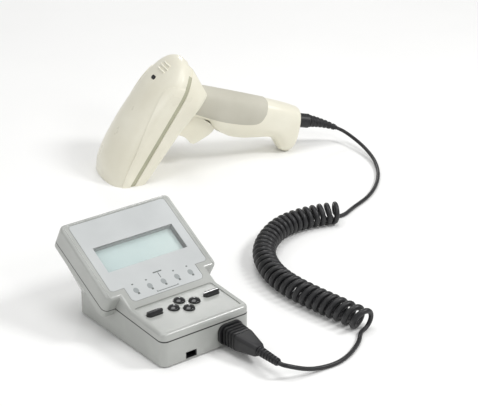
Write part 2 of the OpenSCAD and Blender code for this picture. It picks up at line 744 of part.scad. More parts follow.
// Cover ring: its lower edge, over the dome, and down to the other edge
dome_steps = 12;
function cover_edge(a) = lookup(a, groove_line) + groove_w / 2;
function cover_b(a, i, inset) = i == 0 || i == dome_steps + 2 ? cover_edge(a)
  : let (shoulder = shoulder_b * lookup(a, shoulder_line))
    shoulder + (lookup(a + 0.4 * inset, crown_line) - inset - shoulder) * sin(180 * (i - 1) / dome_steps);
function cover_y(a, i, inset) = let (w = head_w(a, inset))
  i == 0 ? w : i == dome_steps + 2 ? -w : w * cos(180 * (i - 1) / dome_steps);

// Each ring lies in a plane a = plane[0] + plane[1] * b, the first one in the floor
function cover_a(plane, i, inset, a, tries) = tries == 0 ? a
  : cover_a(plane, i, inset, plane[0] + plane[1] * cover_b(a, i, inset), tries - 1);
function cover_point(plane, i, inset) =
  let (a = plane[1] == 0 ? plane[0] : cover_a(plane, i, inset, plane[0] - 15, 45))
  [a, cover_y(a, i, inset), cover_b(a, i, inset)];
cover_planes = [
  [0, floor_lean], [6.6, -0.677], [12.1, -0.563], [17.6, -0.472], [23.5, -0.333], [32.5, -0.213],
  [43, 0], [60, 0], [76, 0], [84, 0], [91, 0], [98, 0], [104, 0], [109, 0], [113, 0], [116, 0],
  [118.2, 0], [119.6, 0], [120.4, 0]];
cover_room_end = 117;
cover_hollow = 0.8;
function cover_back(plane, i) = plane[0] < cover_room_end ? cover_point(plane, i, shell_wall)
  : let (w = max(head_w(plane[0], 0) - shell_wall, 1.5))
    [plane[0], w * cos(180 * i / (dome_steps + 2)),
      cover_edge(plane[0]) + cover_hollow * sin(180 * i / (dome_steps + 2))];
function cover_ring(plane) = concat(
  [for (i = [0 : dome_steps + 2]) cover_point(plane, i, 0)],
  [for (i = [dome_steps + 2 : -1 : 0]) cover_back(plane, i)]);

// Tub ring: lip, step out below the groove, rounded corner, across the bottom, and back
tub_inset = groove_depth + shell_wall;
function tub_half(a, i) =
  let (
    w = head_w(a, 0),
    low = lookup(a, low_line),
    lip = cover_edge(a) - seam_gap,
    step = lookup(a, groove_line) - groove_w / 2,
    corner = min(7, (step - low) * 0.6))
  i == 0 ? [w - groove_depth, lip]
  : i == 1 ? [w - groove_depth, step]
  : i == 2 ? [w, step]
  : let (t = 45 * (i - 3)) [w - corner * (1 - cos(t)), low + corner * (1 - sin(t))];
function tub_half_in(a, i) =
  let (
    w = head_w(a, tub_inset),
    low = lookup(a, low_line) + shell_wall,
    lip = cover_edge(a) - seam_gap,
    corner = min(5, (lip - low) * 0.3))
  i < 3 ? [w, lip + (low + corner - lip) * i / 3]
  : let (t = 45 * (i - 3)) [w - corner * (1 - cos(t)), low + corner * (1 - sin(t))];
function tub_a(plane, i, inner, a, tries) = tries == 0 ? a
  : tub_a(plane, i, inner, plane[0] + plane[1] * (inner ? tub_half_in(a, i) : tub_half(a, i)).y, tries - 1);
function tub_point(plane, i, side, inner) =
  let (
    a = plane[1] == 0 ? plane[0] : tub_a(plane, i, inner, plane[0], 45),
    p = inner ? tub_half_in(a, i) : tub_half(a, i))
  [a, side * p.x, p.y];
rear_lean = 0.567;
rear_plane_a = rear_corner.x - rear_lean * rear_corner.y;
tub_planes = [
  [0, floor_lean], [8, -0.5], [20, -0.25], [43, 0], [60, 0], [76, 0], [84, 0.1], [90.5, 0.25],
  [95.5, 0.37], [99.5, 0.47], [rear_plane_a - 3, rear_lean], [rear_plane_a - 1.6, rear_lean],
  [rear_plane_a, rear_lean]];
tub_room_end = rear_plane_a - 2.5;
tub_steps = 6;
function tub_lid_a(plane, a, tries) = tries == 0 ? a
  : tub_lid_a(plane, plane[0] + plane[1] * (cover_edge(a) - seam_gap), tries - 1);
function tub_back(plane, i, side) = plane[0] < tub_room_end ? tub_point(plane, i, side, true)
  : let (
    a = tub_lid_a(plane, plane[0], 45),
    w = max(head_w(a, 0) - tub_inset, 3))
    [a, side * w * (1 - i / (tub_steps - 0.5)), cover_edge(a) - seam_gap];
function tub_ring(plane) = concat(
  [for (i = [0 : tub_steps - 1]) tub_point(plane, i, -1, false)],
  [for (i = [tub_steps - 1 : -1 : 0]) tub_point(plane, i, 1, false)],
  [for (i = [0 : tub_steps - 1]) tub_back(plane, i, 1)],
  [for (i = [tub_steps - 1 : -1 : 0]) tub_back(plane, i, -1)]);
module tub_shell() in_head() loft([for (plane = tub_planes) tub_ring(plane)], true);

// Handle: back and front lines along its axis, and its half width
back_line = [[-24, 0.9], [0, 0.9], [17, 1.3], [45, 2], [75, 2.2], [100, 1.5], [114, 0.2], [120, -1]];
front_line = [
  [-24, -30], [18, -31], [27, -38], [32, -39.7], [39, -41.3], [49, -43], [60, -42.2], [75, -39],
  [92, -35.5], [97, -37.5], [103, -43], [108, -46.8], [112, -47.28], [116, -45.7], [120, -40]];
handle_sides = 18;
function rounded(t, n) = sign(t) * pow(abs(t), 2 / n);
function handle_point(d, t, inset) =
  let (
    top = lookup(d, back_line) - inset,
    low = lookup(d, front_line) + inset)
  [d * handle_len / 120, (handle_half_w - inset) * rounded(cos(t), 2.7),
    (top + low) / 2 + (top - low) / 2 * rounded(sin(t), 2.7)];
function handle_d(plane, t, inset, d, tries) = tries == 0 ? d
  : handle_d(plane, t, inset, plane[0] + plane[1] * handle_point(d, t, inset).z, tries - 1);
// A plane's third number draws its ring in, to round the butt's edge
function handle_ring(plane, wall) = [for (i = [0 : handle_sides - 1])
  let (
    t = 360 * i / handle_sides,
    inset = wall + (len(plane) > 2 ? plane[2] : 0),
    d = handle_d(plane, t, inset, plane[0], 12))
  handle_point(d, t, inset)];
handle_root = [-2.55, 0.3916];
butt_lean = -0.105;
butt_plane = [115.7, butt_lean, 3];
handle_planes = [
  handle_root, [8, 0.15], [18, 0], [25, 0], [32, 0], [39, 0], [49, 0], [62, 0], [77, 0], [91, 0],
  [98, 0], [103.5, -0.02], [107.3, -0.05], [110.2, -0.08], [112.2, -0.1], [114.2, butt_lean, 0.84],
  [115.35, butt_lean, 2.3], butt_plane];
handle_room_planes = [
  [111, butt_lean], [106.5, -0.06], [102, 0], [92, 0], [77, 0], [49, 0], [30, 0], [18, 0], handle_root];
module handle_shell() in_handle() loft(concat(
  [for (plane = handle_room_planes) handle_ring(plane, shell_wall)],
  [for (plane = handle_planes) handle_ring(plane, 0)]));

// Trigger and its pocket, in the head frame
trigger_pin_at = [76, -8];
trigger_face = 52.5;
trigger_back = 80;
trigger_top = -1.8;
trigger_low = -42;
pocket_back = 86;
pocket_low = -47;
pocket_wall = 1.8;
pocket_w = trigger_w + 2 * trigger_gap;
module at_trigger_pin() in_head() translate([trigger_pin_at.x, 0, trigger_pin_at.y])
  rotate([90, 0, 0]) children();

// The cord leaves the butt at right angles to it. Along +Z out of the butt, at the cord's axis:
tail_n = -13.2;
tail_root_r = 7.4;
tail_seat = 3;
tail_tilt = atan(-butt_lean);
tail_at = handle_len * (butt_plane[0] + butt_lean * tail_n) / 120;
module in_tail() in_handle() translate([tail_at, 0, tail_n]) rotate([0, 90 - tail_tilt, 0]) children();
grille_a = [99, 103, 107];
status_a = 89;
sounder_a = 100;
sounder_r = 9;
sounder_b = 27;
sounder_t = 5;
sounder_ring_top = 36.2;

module head_cover() color(scanner_cream) difference() {
  union() {
    in_head() loft([for (plane = cover_planes) cover_ring(plane)], true);
    // Ring that holds the sounder
    in_head() translate([sounder_a, 0, sounder_b - 0.5])
      cylinder(r = sounder_r + 1.5, h = sounder_ring_top - sounder_b);
  }
  in_head() translate([sounder_a, 0, sounder_b - 2]) cylinder(r = sounder_r + 0.1, h = sounder_t + 2.1);
  for (a = grille_a) in_head() translate([a - 0.8, -7.5, sounder_b]) cube([1.6, 15, 20]);
  in_head() translate([status_a, 0, 30]) linear_extrude(20) status_outline(0.1);
}

module status_outline(grow) {
  translate([-1.7 - grow, -1.5]) square([3.4 + 2 * grow, 3]);
  for (y = [-1.5, 1.5]) translate([0, y]) circle(1.7 + grow);
}

board_post_b = 5;
board_posts = [[20, 26], [80, 24]];
module in_rear_wall() in_head() translate([rear_corner.x, 0, rear_corner.y])
  rotate([0, -atan(1 / rear_lean), 0]) children();

module scanner_housing() color(scanner_cream) difference() {
  union() {
    tub_shell();
    handle_shell();
    // Walls of the trigger pocket
    in_head() slab_across(pocket_w + 2 * pocket_wall) polygon([
      [76, -0.6], [83.2, -31], [79.6, -41], [79.6, pocket_low - pocket_wall],
      [pocket_back + pocket_wall, pocket_low - pocket_wall], [pocket_back + pocket_wall, -1]]);
    for (p = board_posts, side = [-1, 1]) in_head() translate([p.x, side * p.y, -0.5])
      cylinder(r = 2.2, h = board_post_b + 0.5);
    // Boss round the cord gland
    in_tail() translate([0, 0, -15]) cylinder(r = tail_root_r + 1.8, h = 12.5);
  }
  // Trigger pocket, its pin hole, the wires' way into the handle, the cord's way out
  in_head() translate([trigger_face - 20, -pocket_w / 2, pocket_low])
    cube([pocket_back - trigger_face + 20, pocket_w, trigger_top + 0.6 - pocket_low]);
  at_trigger_pin() cylinder(r = trigger_pin_r + 0.02, h = pocket_w + 2 * pocket_wall + 2, center = true);
  in_head() translate([95, 0, -12]) cylinder(r = 4, h = 20);
  in_tail() translate([0, 0, -20]) cylinder(r = tail_root_r + 0.1, h = 40);
  // Groove below the cover, across the rear wall
  in_rear_wall() translate([rear_step, -40, -5]) cube([groove_w + 4, 80, 5 + rear_sink]);
}
rear_step = 25.4;
rear_sink = 1.2;

// Rubber skin over the back of the handle and up the head's rear wall
grip_gap = 0.08;
grip_planes = [
  [0.15, 0.432], [8, 0.15], [18, 0], [25, 0], [32, 0], [39, 0], [49, 0], [62, 0], [68, 0],
  [72.5, 0], [75.5, 0]];
grip_low = [
  [-12, -23], [0, -24.6], [18, -26.4], [32, -26.7], [49, -25.8], [60, -24.3], [68, -22],
  [72.5, -18.5], [75.5, -10]];
// Its points lie on the handle's own corners, apart from its edges and its middle
grip_steps = 16;
grip_corner = 360 / handle_sides;
function grip_start(d) = let (
    top = lookup(d, back_line),
    low = lookup(d, front_line),
    q = (lookup(d, grip_low) - (top + low) / 2) / ((top - low) / 2))
  asin(sign(q) * pow(abs(q), 1.35));
function grip_turn(start, i) = i == 0 ? start : max((i - 3) * grip_corner, start + 2 * i);
function grip_ring(plane, out) = [for (i = [0 : grip_steps])
  let (
    start = grip_start(plane[0] - 26 * plane[1]),
    t = i < grip_steps / 2 ? grip_turn(start, i) : i == grip_steps / 2 ? 90
      : 180 - grip_turn(start, grip_steps - i),
    d = handle_d(plane, t, -out, plane[0], 12))
  handle_point(d, t, -out)];
module rubber_grip() color(rubber_grey) {
  in_handle() loft([for (plane = grip_planes) let (back = grip_ring(plane, grip_gap)) concat(
    grip_ring(plane, grip_proud), [for (i = [grip_steps : -1 : 0]) back[i]])], true);
  // Fillet in the corner, and the skin on the rear wall up to the groove
  in_handle() slab_across(14) polygon([[-0.78, 1.02], [1.8, 1], [1.8, 1.45], [-0.3, 1.9], [-1.2, 1.75]]);
  in_rear_wall() translate([0, 0, -grip_proud]) linear_extrude(grip_proud - grip_gap)
    polygon([[1.3, -9], [1.3, 9], [3, 15], [6, 22], [12, 23], [19, 19], [rear_step - 1, 14],
      [rear_step - 1, -14], [19, -19], [12, -23], [6, -22], [3, -15]]);
}

module trigger() color(scanner_cream) difference() {
  in_head() slab_across(trigger_w) difference() {
    polygon([
      [trigger_face + 4, trigger_top], [trigger_face + 0.6, trigger_top - 2],
      [trigger_face, trigger_top - 6], [trigger_face, trigger_low + 13],
      [trigger_face + 0.8, trigger_low + 10], [trigger_face + 4, trigger_low + 7.6],
      [trigger_face + 16, trigger_low + 1.6], [trigger_face + 21, trigger_low],
      [trigger_back, trigger_low], [trigger_back, trigger_top - 1.5],
      [trigger_back - 3, trigger_top]]);
    translate([trigger_face - 18, trigger_top - 18]) circle(r = 20, $fn = 96);
  }
  at_trigger_pin() cylinder(r = trigger_pin_r + trigger_fit, h = 4 * trigger_w, center = true);
  at_trigger_pin() translate([0, 0, trigger_w / 2 - 4]) cylinder(r = 4.4, h = 20);
}

module trigger_pin() color(steel)
  at_trigger_pin() cylinder(r = trigger_pin_r, h = pocket_w + 2 * pocket_wall - 0.2, center = true);

// Torsion spring: close turns of wire round the trigger's pin
module trigger_spring() color(steel) {
  wire_r = 0.4;
  turns = 4;
  at_trigger_pin() for (i = [0 : turns - 1])
    translate([0, 0, trigger_w / 2 - 3.4 + i * (2 * wire_r - 0.05)])
      rotate_extrude() translate([trigger_pin_r + wire_r + 0.12, 0]) circle(r = wire_r, $fn = 16);
}

module trigger_switch() color(key_black) {
  in_head() translate([pocket_back - 3, -3, -24]) cube([3, 6, 6]);
  in_head() translate([pocket_back - 4, 0, -21]) rotate([0, 90, 0]) cylinder(r = 1.6, h = 2);
}

// Flat piece that fills the head between two stations
inner_play = 0.1;
inner_inset = tub_inset + inner_play;
function inner_ring(a) = concat(
  [for (i = [1 : dome_steps + 1]) [a, cover_y(a, i, inner_inset), cover_b(a, i, inner_inset)]],
  [for (side = [-1, 1])
    [a, side * (head_w(a, inner_inset) - 5), lookup(a, low_line) + shell_wall + inner_play]]);
module head_slice(a0, a1) in_head() loft([inner_ring(a0), inner_ring(a1)]);

module nose_frame() color(key_black) difference() {
  head_slice(2, 6);
  in_head() translate([0, -24, 11]) cube([10, 48, 20]);
}

module scan_window() color([0.5, 0.12, 0.12, 0.5]) head_slice(6, 7.5);

lens_b = 19;
lens_r = 6.9;
lens_len = 16.4;
lens_a = 12.5;
lamp = 3;
lamp_t = 1.4;
lamp_y = [-23, -16, 16, 23];
light_board_a = 10;
light_board = [board_t, 2 * (head_half_w - 9.5), 25.5];
module illumination_board() color(board_green) {
  difference() {
    in_head() translate([light_board_a, -light_board.y / 2, board_post_b - 0.5]) cube(light_board);
    in_head() translate([0, 0, lens_b]) rotate([0, 90, 0]) cylinder(r = lens_r + 1.5, h = 30);
  }
  for (y = lamp_y, b = [lens_b - 5, lens_b + 5])
    in_head() translate([light_board_a - lamp_t, y - lamp / 2, b - lamp / 2])
      cube([lamp_t + eps, lamp, lamp]);
}

scan_board = [78, 2 * (head_half_w - 8.5), board_t];
module scanner_board() color(board_green)
  in_head() translate([light_board_a + board_t, -scan_board.y / 2, board_post_b]) cube(scan_board);

engine_a = 20;
engine = [28, 30, 24];
module imaging_engine() color([0.2, 0.2, 0.22]) difference() {
  in_head() translate([engine_a, -engine.y / 2, board_post_b + board_t]) cube(engine);
  in_head() translate([engine_a - 1, 0, lens_b]) rotate([0, 90, 0]) cylinder(r = lens_r + 0.1, h = 10);
}

module engine_lens() color([0.1, 0.1, 0.14]) {
  in_head() translate([lens_a, 0, lens_b]) rotate([0, 90, 0]) difference() {
    cylinder(r = lens_r, h = lens_len);
    translate([0, 0, -1]) cylinder(r1 = lens_r - 1.3, r2 = lens_r / 2, h = 4);
  }
}

module sounder() color(key_black) difference() {
  in_head() translate([sounder_a, 0, sounder_b]) cylinder(r = sounder_r, h = sounder_t);
  in_head() translate([sounder_a, 0, sounder_b + 3]) cylinder(r = 1.5, h = 5);
}

module status_lens() color(key_black)
  in_head() translate([status_a, 0, lookup(status_a, crown_line) - shell_wall - 1])
    linear_extrude(shell_wall + 1.3) status_outline(0);

gland_len = 11;
module handle_gland() color(key_black)
  in_tail() translate([0, 0, -gland_len - tail_seat]) cylinder(r = tail_root_r, h = gland_len);

// Ribbed strain relief: a taper with rings, pointing along +Z
module relief_form(root_r, tip_r, len) {
  ribs = 7;
  pitch = len / ribs;
  ring = pitch * 0.55;
  rotate_extrude() polygon(concat(
    [[0, 0]],
    [for (i = [0 : ribs - 1]) for (k = [0 : 3])
      let (z = i * pitch + [0, ring, ring, pitch][k], r = root_r + (tip_r - root_r) * z / len)
      [r - (k > 1 ? 0.7 : 0), z]],
    [[0, len]]));
}

plug_tip_r = 5.4;
plug_relief_r = 4.3;
cord_r = cord_d / 2;
module in_plug() in_console() translate([plug_x, 0, plug_z]) rotate([90, 0, 0]) children();
module plug_plate(w, h, r, z, t) translate([0, -h / 2, z]) linear_extrude(t) rounded_plate(w, h, r);
module plug_body() color(cord_black) in_plug() {
  flange = 3;
  waist = 0.8;
  grip_w = plug_w - 4.5;
  grip_h = plug_h - 2.5;
  mid = plug_len * 0.5;
  plug_plate(nose_w, nose_h, 1.5, -nose_len, nose_len + eps);
  hull() {
    plug_plate(plug_w - 1, plug_h - 1, 6, 0, eps);
    plug_plate(plug_w, plug_h, 6.5, 0.6, flange - 1);
    plug_plate(plug_w - 1.6, plug_h - 1.6, 5.7, flange - eps, eps);
  }
  plug_plate(grip_w - 2 * waist, grip_h - 2 * waist, 3, flange - eps, mid - flange);
  // Stepped finger grips
  for (i = [0 : 3]) plug_plate(grip_w - i * 0.3, grip_h - i * 0.3, 3, flange + 1.4 + i * 3.6, 2.2);
  hull() {
    plug_plate(grip_w - 1, grip_h - 1, 3, mid - 1, eps);
    plug_plate(grip_w - 2, grip_h - 2, 3, mid + 2, eps);
    plug_plate(2 * plug_tip_r + 1, 2 * plug_tip_r + 1, 3.5, plug_len - 7, eps);
    plug_plate(2 * plug_tip_r, 2 * plug_tip_r, 3.5, plug_len - 2.5, eps);
    plug_plate(2 * plug_relief_r, 2 * plug_relief_r, 3.5, plug_len - eps, eps);
  }
}

relief_tip_r = cord_r + 1;
module plug_relief() color(cord_black) in_plug() translate([0, 0, plug_len])
  relief_form(plug_relief_r - 0.3, cord_r + 1.4, relief_len);

// The handle's relief has a collar, and its ribbed taper bends down with the cord
function handle_place(d, n) = let (
    h = rear_corner_hz.x + d * cos(handle_fall) + n * sin(handle_fall),
    z = rear_corner_hz.y - d * sin(handle_fall) + n * cos(handle_fall))
  [scanner_at.x + h * cos(scanner_turn), scanner_at.y + h * sin(scanner_turn), z];
function tail_place(along) = handle_place(tail_at + along * cos(tail_tilt), tail_n + along * sin(tail_tilt));
collar_len = 14.5;
tail_bend = collar_len + 0.42 * (tail_len - collar_len);
tail_turn = scanner_turn - 10;
tail_fall = 24;
tail_dir = [cos(tail_fall) * cos(tail_turn), cos(tail_fall) * sin(tail_turn), -sin(tail_fall)];
tail_end = tail_place(tail_bend) + (tail_len - tail_bend) * tail_dir;
function tail_curve(t) = (1 - t) * (1 - t) * tail_place(collar_len) + 2 * t * (1 - t) * tail_place(tail_bend)
  + t * t * tail_end;
tail_ribs = 7;
rib_profile = [[0, 0.6], [0.12, 0], [0.6, 0], [0.72, 0.6]];
tail_rings = concat(
  [[tail_place(-tail_seat), tail_root_r], [tail_place(collar_len - 1), tail_root_r],
    [tail_place(collar_len - 0.3), tail_root_r - 0.8]],
  [for (i = [0 : tail_ribs - 1], rib = rib_profile) let (t = (i + rib[0]) / tail_ribs)
    [tail_curve(t), tail_root_r - 0.8 + (relief_tip_r - tail_root_r + 0.8) * t - rib[1]]],
  [[tail_end, relief_tip_r - 0.6]]);
module handle_relief() color(cord_black)
  tube([for (ring = tail_rings) ring[0]], [for (ring = tail_rings) ring[1]], 20);

// Curly cord: the spine lies on the surface, and the tube winds round it
spine_points = [
  [-16.5, -243.5], [-20.5, -214.4], [-23.7, -190.3], [-25.7, -165], [-24.1, -139.9], [-16.6, -115.8],
  [-4.1, -94.4], [13.7, -77.4], [36.1, -64.7], [58.1, -60.3], [81.1, -62.6], [102.4, -69.6]];
cord_lift = 0.05;
coil_r = (coil_od - cord_d) / 2;
function unit(v) = v / norm(v);
function spine_point(i) = i < 0 ? 2 * spine_points[0] - spine_points[1]
  : i >= len(spine_points) ? 2 * spine_points[len(spine_points) - 1] - spine_points[len(spine_points) - 2]
  : spine_points[i];
// Smooth curve through four neighbouring points
function curve(p0, p1, p2, p3, t) = 0.5 * (2 * p1 + (p2 - p0) * t
  + (2 * p0 - 5 * p1 + 4 * p2 - p3) * t * t + (3 * p1 - p0 - 3 * p2 + p3) * t * t * t);
spine_spans = len(spine_points) - 1;
function spine(u) = let (i = min(floor(u), spine_spans - 1))
  curve(spine_point(i - 1), spine_point(i), spine_point(i + 1), spine_point(i + 2), u - i);
function heading(u) = let (e = 0.01) unit(spine(min(u + e, spine_spans)) - spine(max(u - e, 0)));
function ease(t) = let (c = min(max(t, 0), 1)) c * c * (3 - 2 * c);
// The coil starts at a ring's lowest point and stops on a ring's far side, on its way down.
// Its rings lean back towards the start, apart from the last.
first_turn = -0.25;
last_turn = coil_turns + 0.5;
coil_lean = 0.26;
function helix_point(turn) =
  let (
    u = spine_spans * (turn - first_turn) / (last_turn - first_turn),
    ahead = heading(u),
    across = coil_r * cos(360 * turn),
    up = coil_r * sin(360 * turn),
    back = up * coil_lean * ease((last_turn - turn) / 1.5),
    c = spine(u))
  [c.x + across * ahead.y - back * ahead.x, c.y - across * ahead.x - back * ahead.y,
    cord_r + cord_lift + coil_r + up];
coil_start_dir = unit(helix_point(first_turn + 0.001) - helix_point(first_turn));
coil_stop_dir = unit(helix_point(last_turn) - helix_point(last_turn - 0.001));
// Short straight runs, so that each piece of cord meets the next end to end
end_run = 0.6;
end_play = 0.02;
coil_start = helix_point(first_turn) - end_run * coil_start_dir;
coil_stop = helix_point(last_turn) + end_run * coil_stop_dir;
coil_rings = 8 * (last_turn - first_turn);
coil_path = concat(
  [coil_start],
  [for (i = [0 : coil_rings]) helix_point(first_turn + i / 8)],
  [coil_stop]);

// Tube of a given number of sides along a path
function path_dir(path, i) = unit(path[min(i + 1, len(path) - 1)] - path[max(i - 1, 0)]);
function carried(path, i, v) = let (t = path_dir(path, i)) unit(v - (v * t) * t);
function tube_sides(path) = [
  for (i = 0, v = carried(path, 0, [0, 0, 1]); i < len(path);
    i = i + 1, v = i < len(path) ? carried(path, i, v) : v) v];
module tube(path, radii, sides) {
  refs = tube_sides(path);
  loft([for (i = [0 : len(path) - 1])
    let (t = path_dir(path, i), x = refs[i], y = cross(t, x), r = is_list(radii) ? radii[i] : radii)
    [for (k = [0 : sides - 1]) let (a = 360 * (k + 0.5) / sides) path[i] + r * (cos(a) * x + sin(a) * y)]]);
}

// Least distance between the tube and itself, one to three turns away
coil_gap = min([for (i = [0 : 2 : len(coil_path) - 1]) for (k = [5 : 24])
  if (i + k < len(coil_path)) norm(coil_path[i] - coil_path[i + k])]) - cord_d;
echo(least_gap_between_curls = coil_gap);

module curly_cord() color(cord_black) tube(coil_path, cord_r, 6);

// Free stretches of the cord, through points chosen by hand. Each runs straight into its ends.
function smooth_path(p, n) = concat(
  [for (i = [0 : len(p) - 2]) for (k = [0 : n - 1])
    curve(p[max(i - 1, 0)], p[i], p[i + 1], p[min(i + 2, len(p) - 1)], k / n)],
  [p[len(p) - 1]]);
plug_end = [console_at.x + plug_x, console_at.y - plug_len - relief_len, plug_z];
floor_z = cord_r + cord_lift;
lower_route = [
  [-115.9, -259.2, 12.1], [-113, -262, 11.3], [-108.6, -263.9, 9.6], [-103.3, -265.2, 7.4],
  [-97.4, -266.3, 5.3], [-91, -267, 3.6], [-85, -267.4, 2.5], [-79.3, -267.9, 1.95],
  [-73.9, -268.5, floor_z], [-67.2, -268.3, floor_z], [-60.3, -266.9, floor_z],
  [-53.4, -264.6, floor_z], [-46.9, -261.6, floor_z], [-40.7, -258.2, floor_z],
  [-34.9, -254.6, floor_z], [-29.8, -250.5, floor_z], [-25.3, -246.3, floor_z],
  [-21.4, -243.2, floor_z]];
function with_ends(from, from_dir, route, to, to_dir) = concat(
  [from + end_play * from_dir],
  smooth_path(concat([from + 2 * end_run * from_dir], route, [to - end_run * to_dir]), 2),
  [to - end_play * to_dir]);
lower_path = with_ends(plug_end, [0, -1, 0], lower_route, coil_start, coil_start_dir);
module lower_cord() color(cord_black) tube(lower_path, cord_r, 8);

upper_route = [
  [233.3, 79, 14.9], [235.6, 76.2, 13.4], [236.9, 71.6, 11.9], [237.2, 66, 10.7], [236.8, 59, 9.5],
  [236, 51.5, 8.3], [234.8, 44, 7.1], [232.6, 35.5, 6], [229.6, 26.5, 5], [225.8, 17.5, 4.1],
  [221.1, 8.5, 3.2], [215.2, -0.5, 2.5], [208.1, -9.5, 2.1], [200.1, -18, floor_z],
  [190.9, -26.5, floor_z], [180.8, -34.4, floor_z], [170, -41.4, floor_z], [158.5, -47.4, floor_z],
  [146.3, -52, floor_z], [135, -56, floor_z], [126.6, -59.4, floor_z], [121.6, -61.5, floor_z],
  [117.4, -62.7, floor_z], [113, -63, 1.9], [109.9, -62.5, 2.45], [107.45, -61.9, 4.06],
  [105.82, -61.55, 6.5]];
upper_path = with_ends(tail_end, tail_dir, upper_route, coil_stop, -coil_stop_dir);
module upper_cord() color(cord_black) tube(upper_path, cord_r, 8);

upper_housing();
lower_housing();
face_label();
window_pane();
lcd_panel();
lcd_frame();
lcd_board();
lcd_screws();
indicator_leds();
led_board();
key_left_bar();
key_right_bar();
key_front();
key_back();
key_left();
key_right();
keypad_mat();
keypad_board();
keypad_screws();
main_board();
beeper();
service_jack();
cord_socket();
battery_door();
battery_cells();
battery_contacts();
rubber_feet();
case_screws();
head_cover();
scanner_housing();
rubber_grip();
trigger();
trigger_pin();
trigger_spring();
trigger_switch();
nose_frame();
scan_window();
illumination_board();
imaging_engine();
engine_lens();
scanner_board();
sounder();
status_lens();
handle_gland();
plug_body();
plug_relief();
lower_cord();
curly_cord();
upper_cord();
handle_relief();
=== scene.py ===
import json
import math

import bmesh
import bpy
from mathutils import Matrix, Vector

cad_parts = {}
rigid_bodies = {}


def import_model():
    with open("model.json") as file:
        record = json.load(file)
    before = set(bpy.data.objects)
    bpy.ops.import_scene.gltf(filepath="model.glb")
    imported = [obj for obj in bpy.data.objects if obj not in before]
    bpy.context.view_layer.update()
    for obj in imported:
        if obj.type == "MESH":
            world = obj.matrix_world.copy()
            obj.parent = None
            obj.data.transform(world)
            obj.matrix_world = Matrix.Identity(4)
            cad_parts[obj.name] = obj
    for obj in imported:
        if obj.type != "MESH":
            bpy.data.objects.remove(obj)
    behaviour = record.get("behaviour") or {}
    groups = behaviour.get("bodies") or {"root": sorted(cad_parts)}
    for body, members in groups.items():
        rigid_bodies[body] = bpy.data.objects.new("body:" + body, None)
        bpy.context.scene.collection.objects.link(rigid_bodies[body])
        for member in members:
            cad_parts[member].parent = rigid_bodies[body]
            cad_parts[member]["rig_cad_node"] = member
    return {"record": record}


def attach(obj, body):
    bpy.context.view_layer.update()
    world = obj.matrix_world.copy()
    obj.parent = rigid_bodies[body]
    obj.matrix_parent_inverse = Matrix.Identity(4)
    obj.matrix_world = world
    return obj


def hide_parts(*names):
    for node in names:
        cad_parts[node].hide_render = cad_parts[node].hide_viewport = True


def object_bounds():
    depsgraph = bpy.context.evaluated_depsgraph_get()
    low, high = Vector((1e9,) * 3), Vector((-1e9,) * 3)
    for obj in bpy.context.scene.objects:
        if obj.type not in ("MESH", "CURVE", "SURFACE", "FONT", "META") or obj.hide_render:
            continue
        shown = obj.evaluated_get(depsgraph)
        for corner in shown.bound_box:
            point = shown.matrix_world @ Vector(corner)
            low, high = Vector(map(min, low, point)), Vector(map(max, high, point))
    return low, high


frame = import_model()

CAD_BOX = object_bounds()

bl_info = {
    "name": "Desktop Barcode Verifier",
    "version": (1, 0, 0),
    "blender": (4, 5, 0),
    "location": "3D View > Sidebar > Verifier",
    "description": "Console with a tilted display, a cabled hand scanner and the curly cord between them",
    "category": "Add Mesh",
}

# Lengths below are in millimetres, as in the part's source, and turn into metres in add_mesh
MM = 0.001


# ---------------------------------------------------------------- places and frames
def turned(axis, degrees):
    """Turn about an axis of the frame."""
    return Matrix.Rotation(math.radians(degrees), 4, axis)


def moved(x, y, z):
    """Shift in millimetres."""
    return Matrix.Translation((x, y, z))


# Console: the deck's depth and height at its back, the neck above it, and the tilted display
DECK_LEN, DECK_BACK_H, NECK_LEN, TILT = 45, 32.6, 14.8, 29.1
DISP_W, DISP_LEN = 108, 81.5
DISP_Y = DECK_LEN + NECK_LEN * math.cos(math.radians(TILT))
DISP_Z = DECK_BACK_H + NECK_LEN * math.sin(math.radians(TILT))
CONSOLE = moved(-139, -192, 0)
DISPLAY = CONSOLE @ moved(0, DISP_Y, DISP_Z) @ turned("X", TILT)
# Parting line: height at the case's front, depths below the display's front and back ends, and the gap
SEAM_FRONT_H, SEAM_FRONT_W, SEAM_BACK_W, SEAM_GAP = 23.1, 15.5, 17.8, 0.3
# Scanner: it rests on its nose; in the head's frame X runs back along the head and Z towards the crown
SCANNER = moved(24, 147, 0) @ turned("Z", -17)
HEAD_ANGLE = 53
HEAD = SCANNER @ turned("Y", -HEAD_ANGLE)
# Handle: from the head's rear lower corner it falls gently towards the butt
REAR_CORNER = (104, -4)
HEAD_COS, HEAD_SIN = math.cos(math.radians(HEAD_ANGLE)), math.sin(math.radians(HEAD_ANGLE))
HANDLE_FALL, BUTT_AT, BUTT_LEAN, BUTT_ROUND = 18.8, 115.7, -0.105, 3.0
HANDLE = SCANNER @ moved(
    REAR_CORNER[0] * HEAD_COS - REAR_CORNER[1] * HEAD_SIN, 0,
    REAR_CORNER[0] * HEAD_SIN + REAR_CORNER[1] * HEAD_COS) @ turned("Y", HANDLE_FALL)
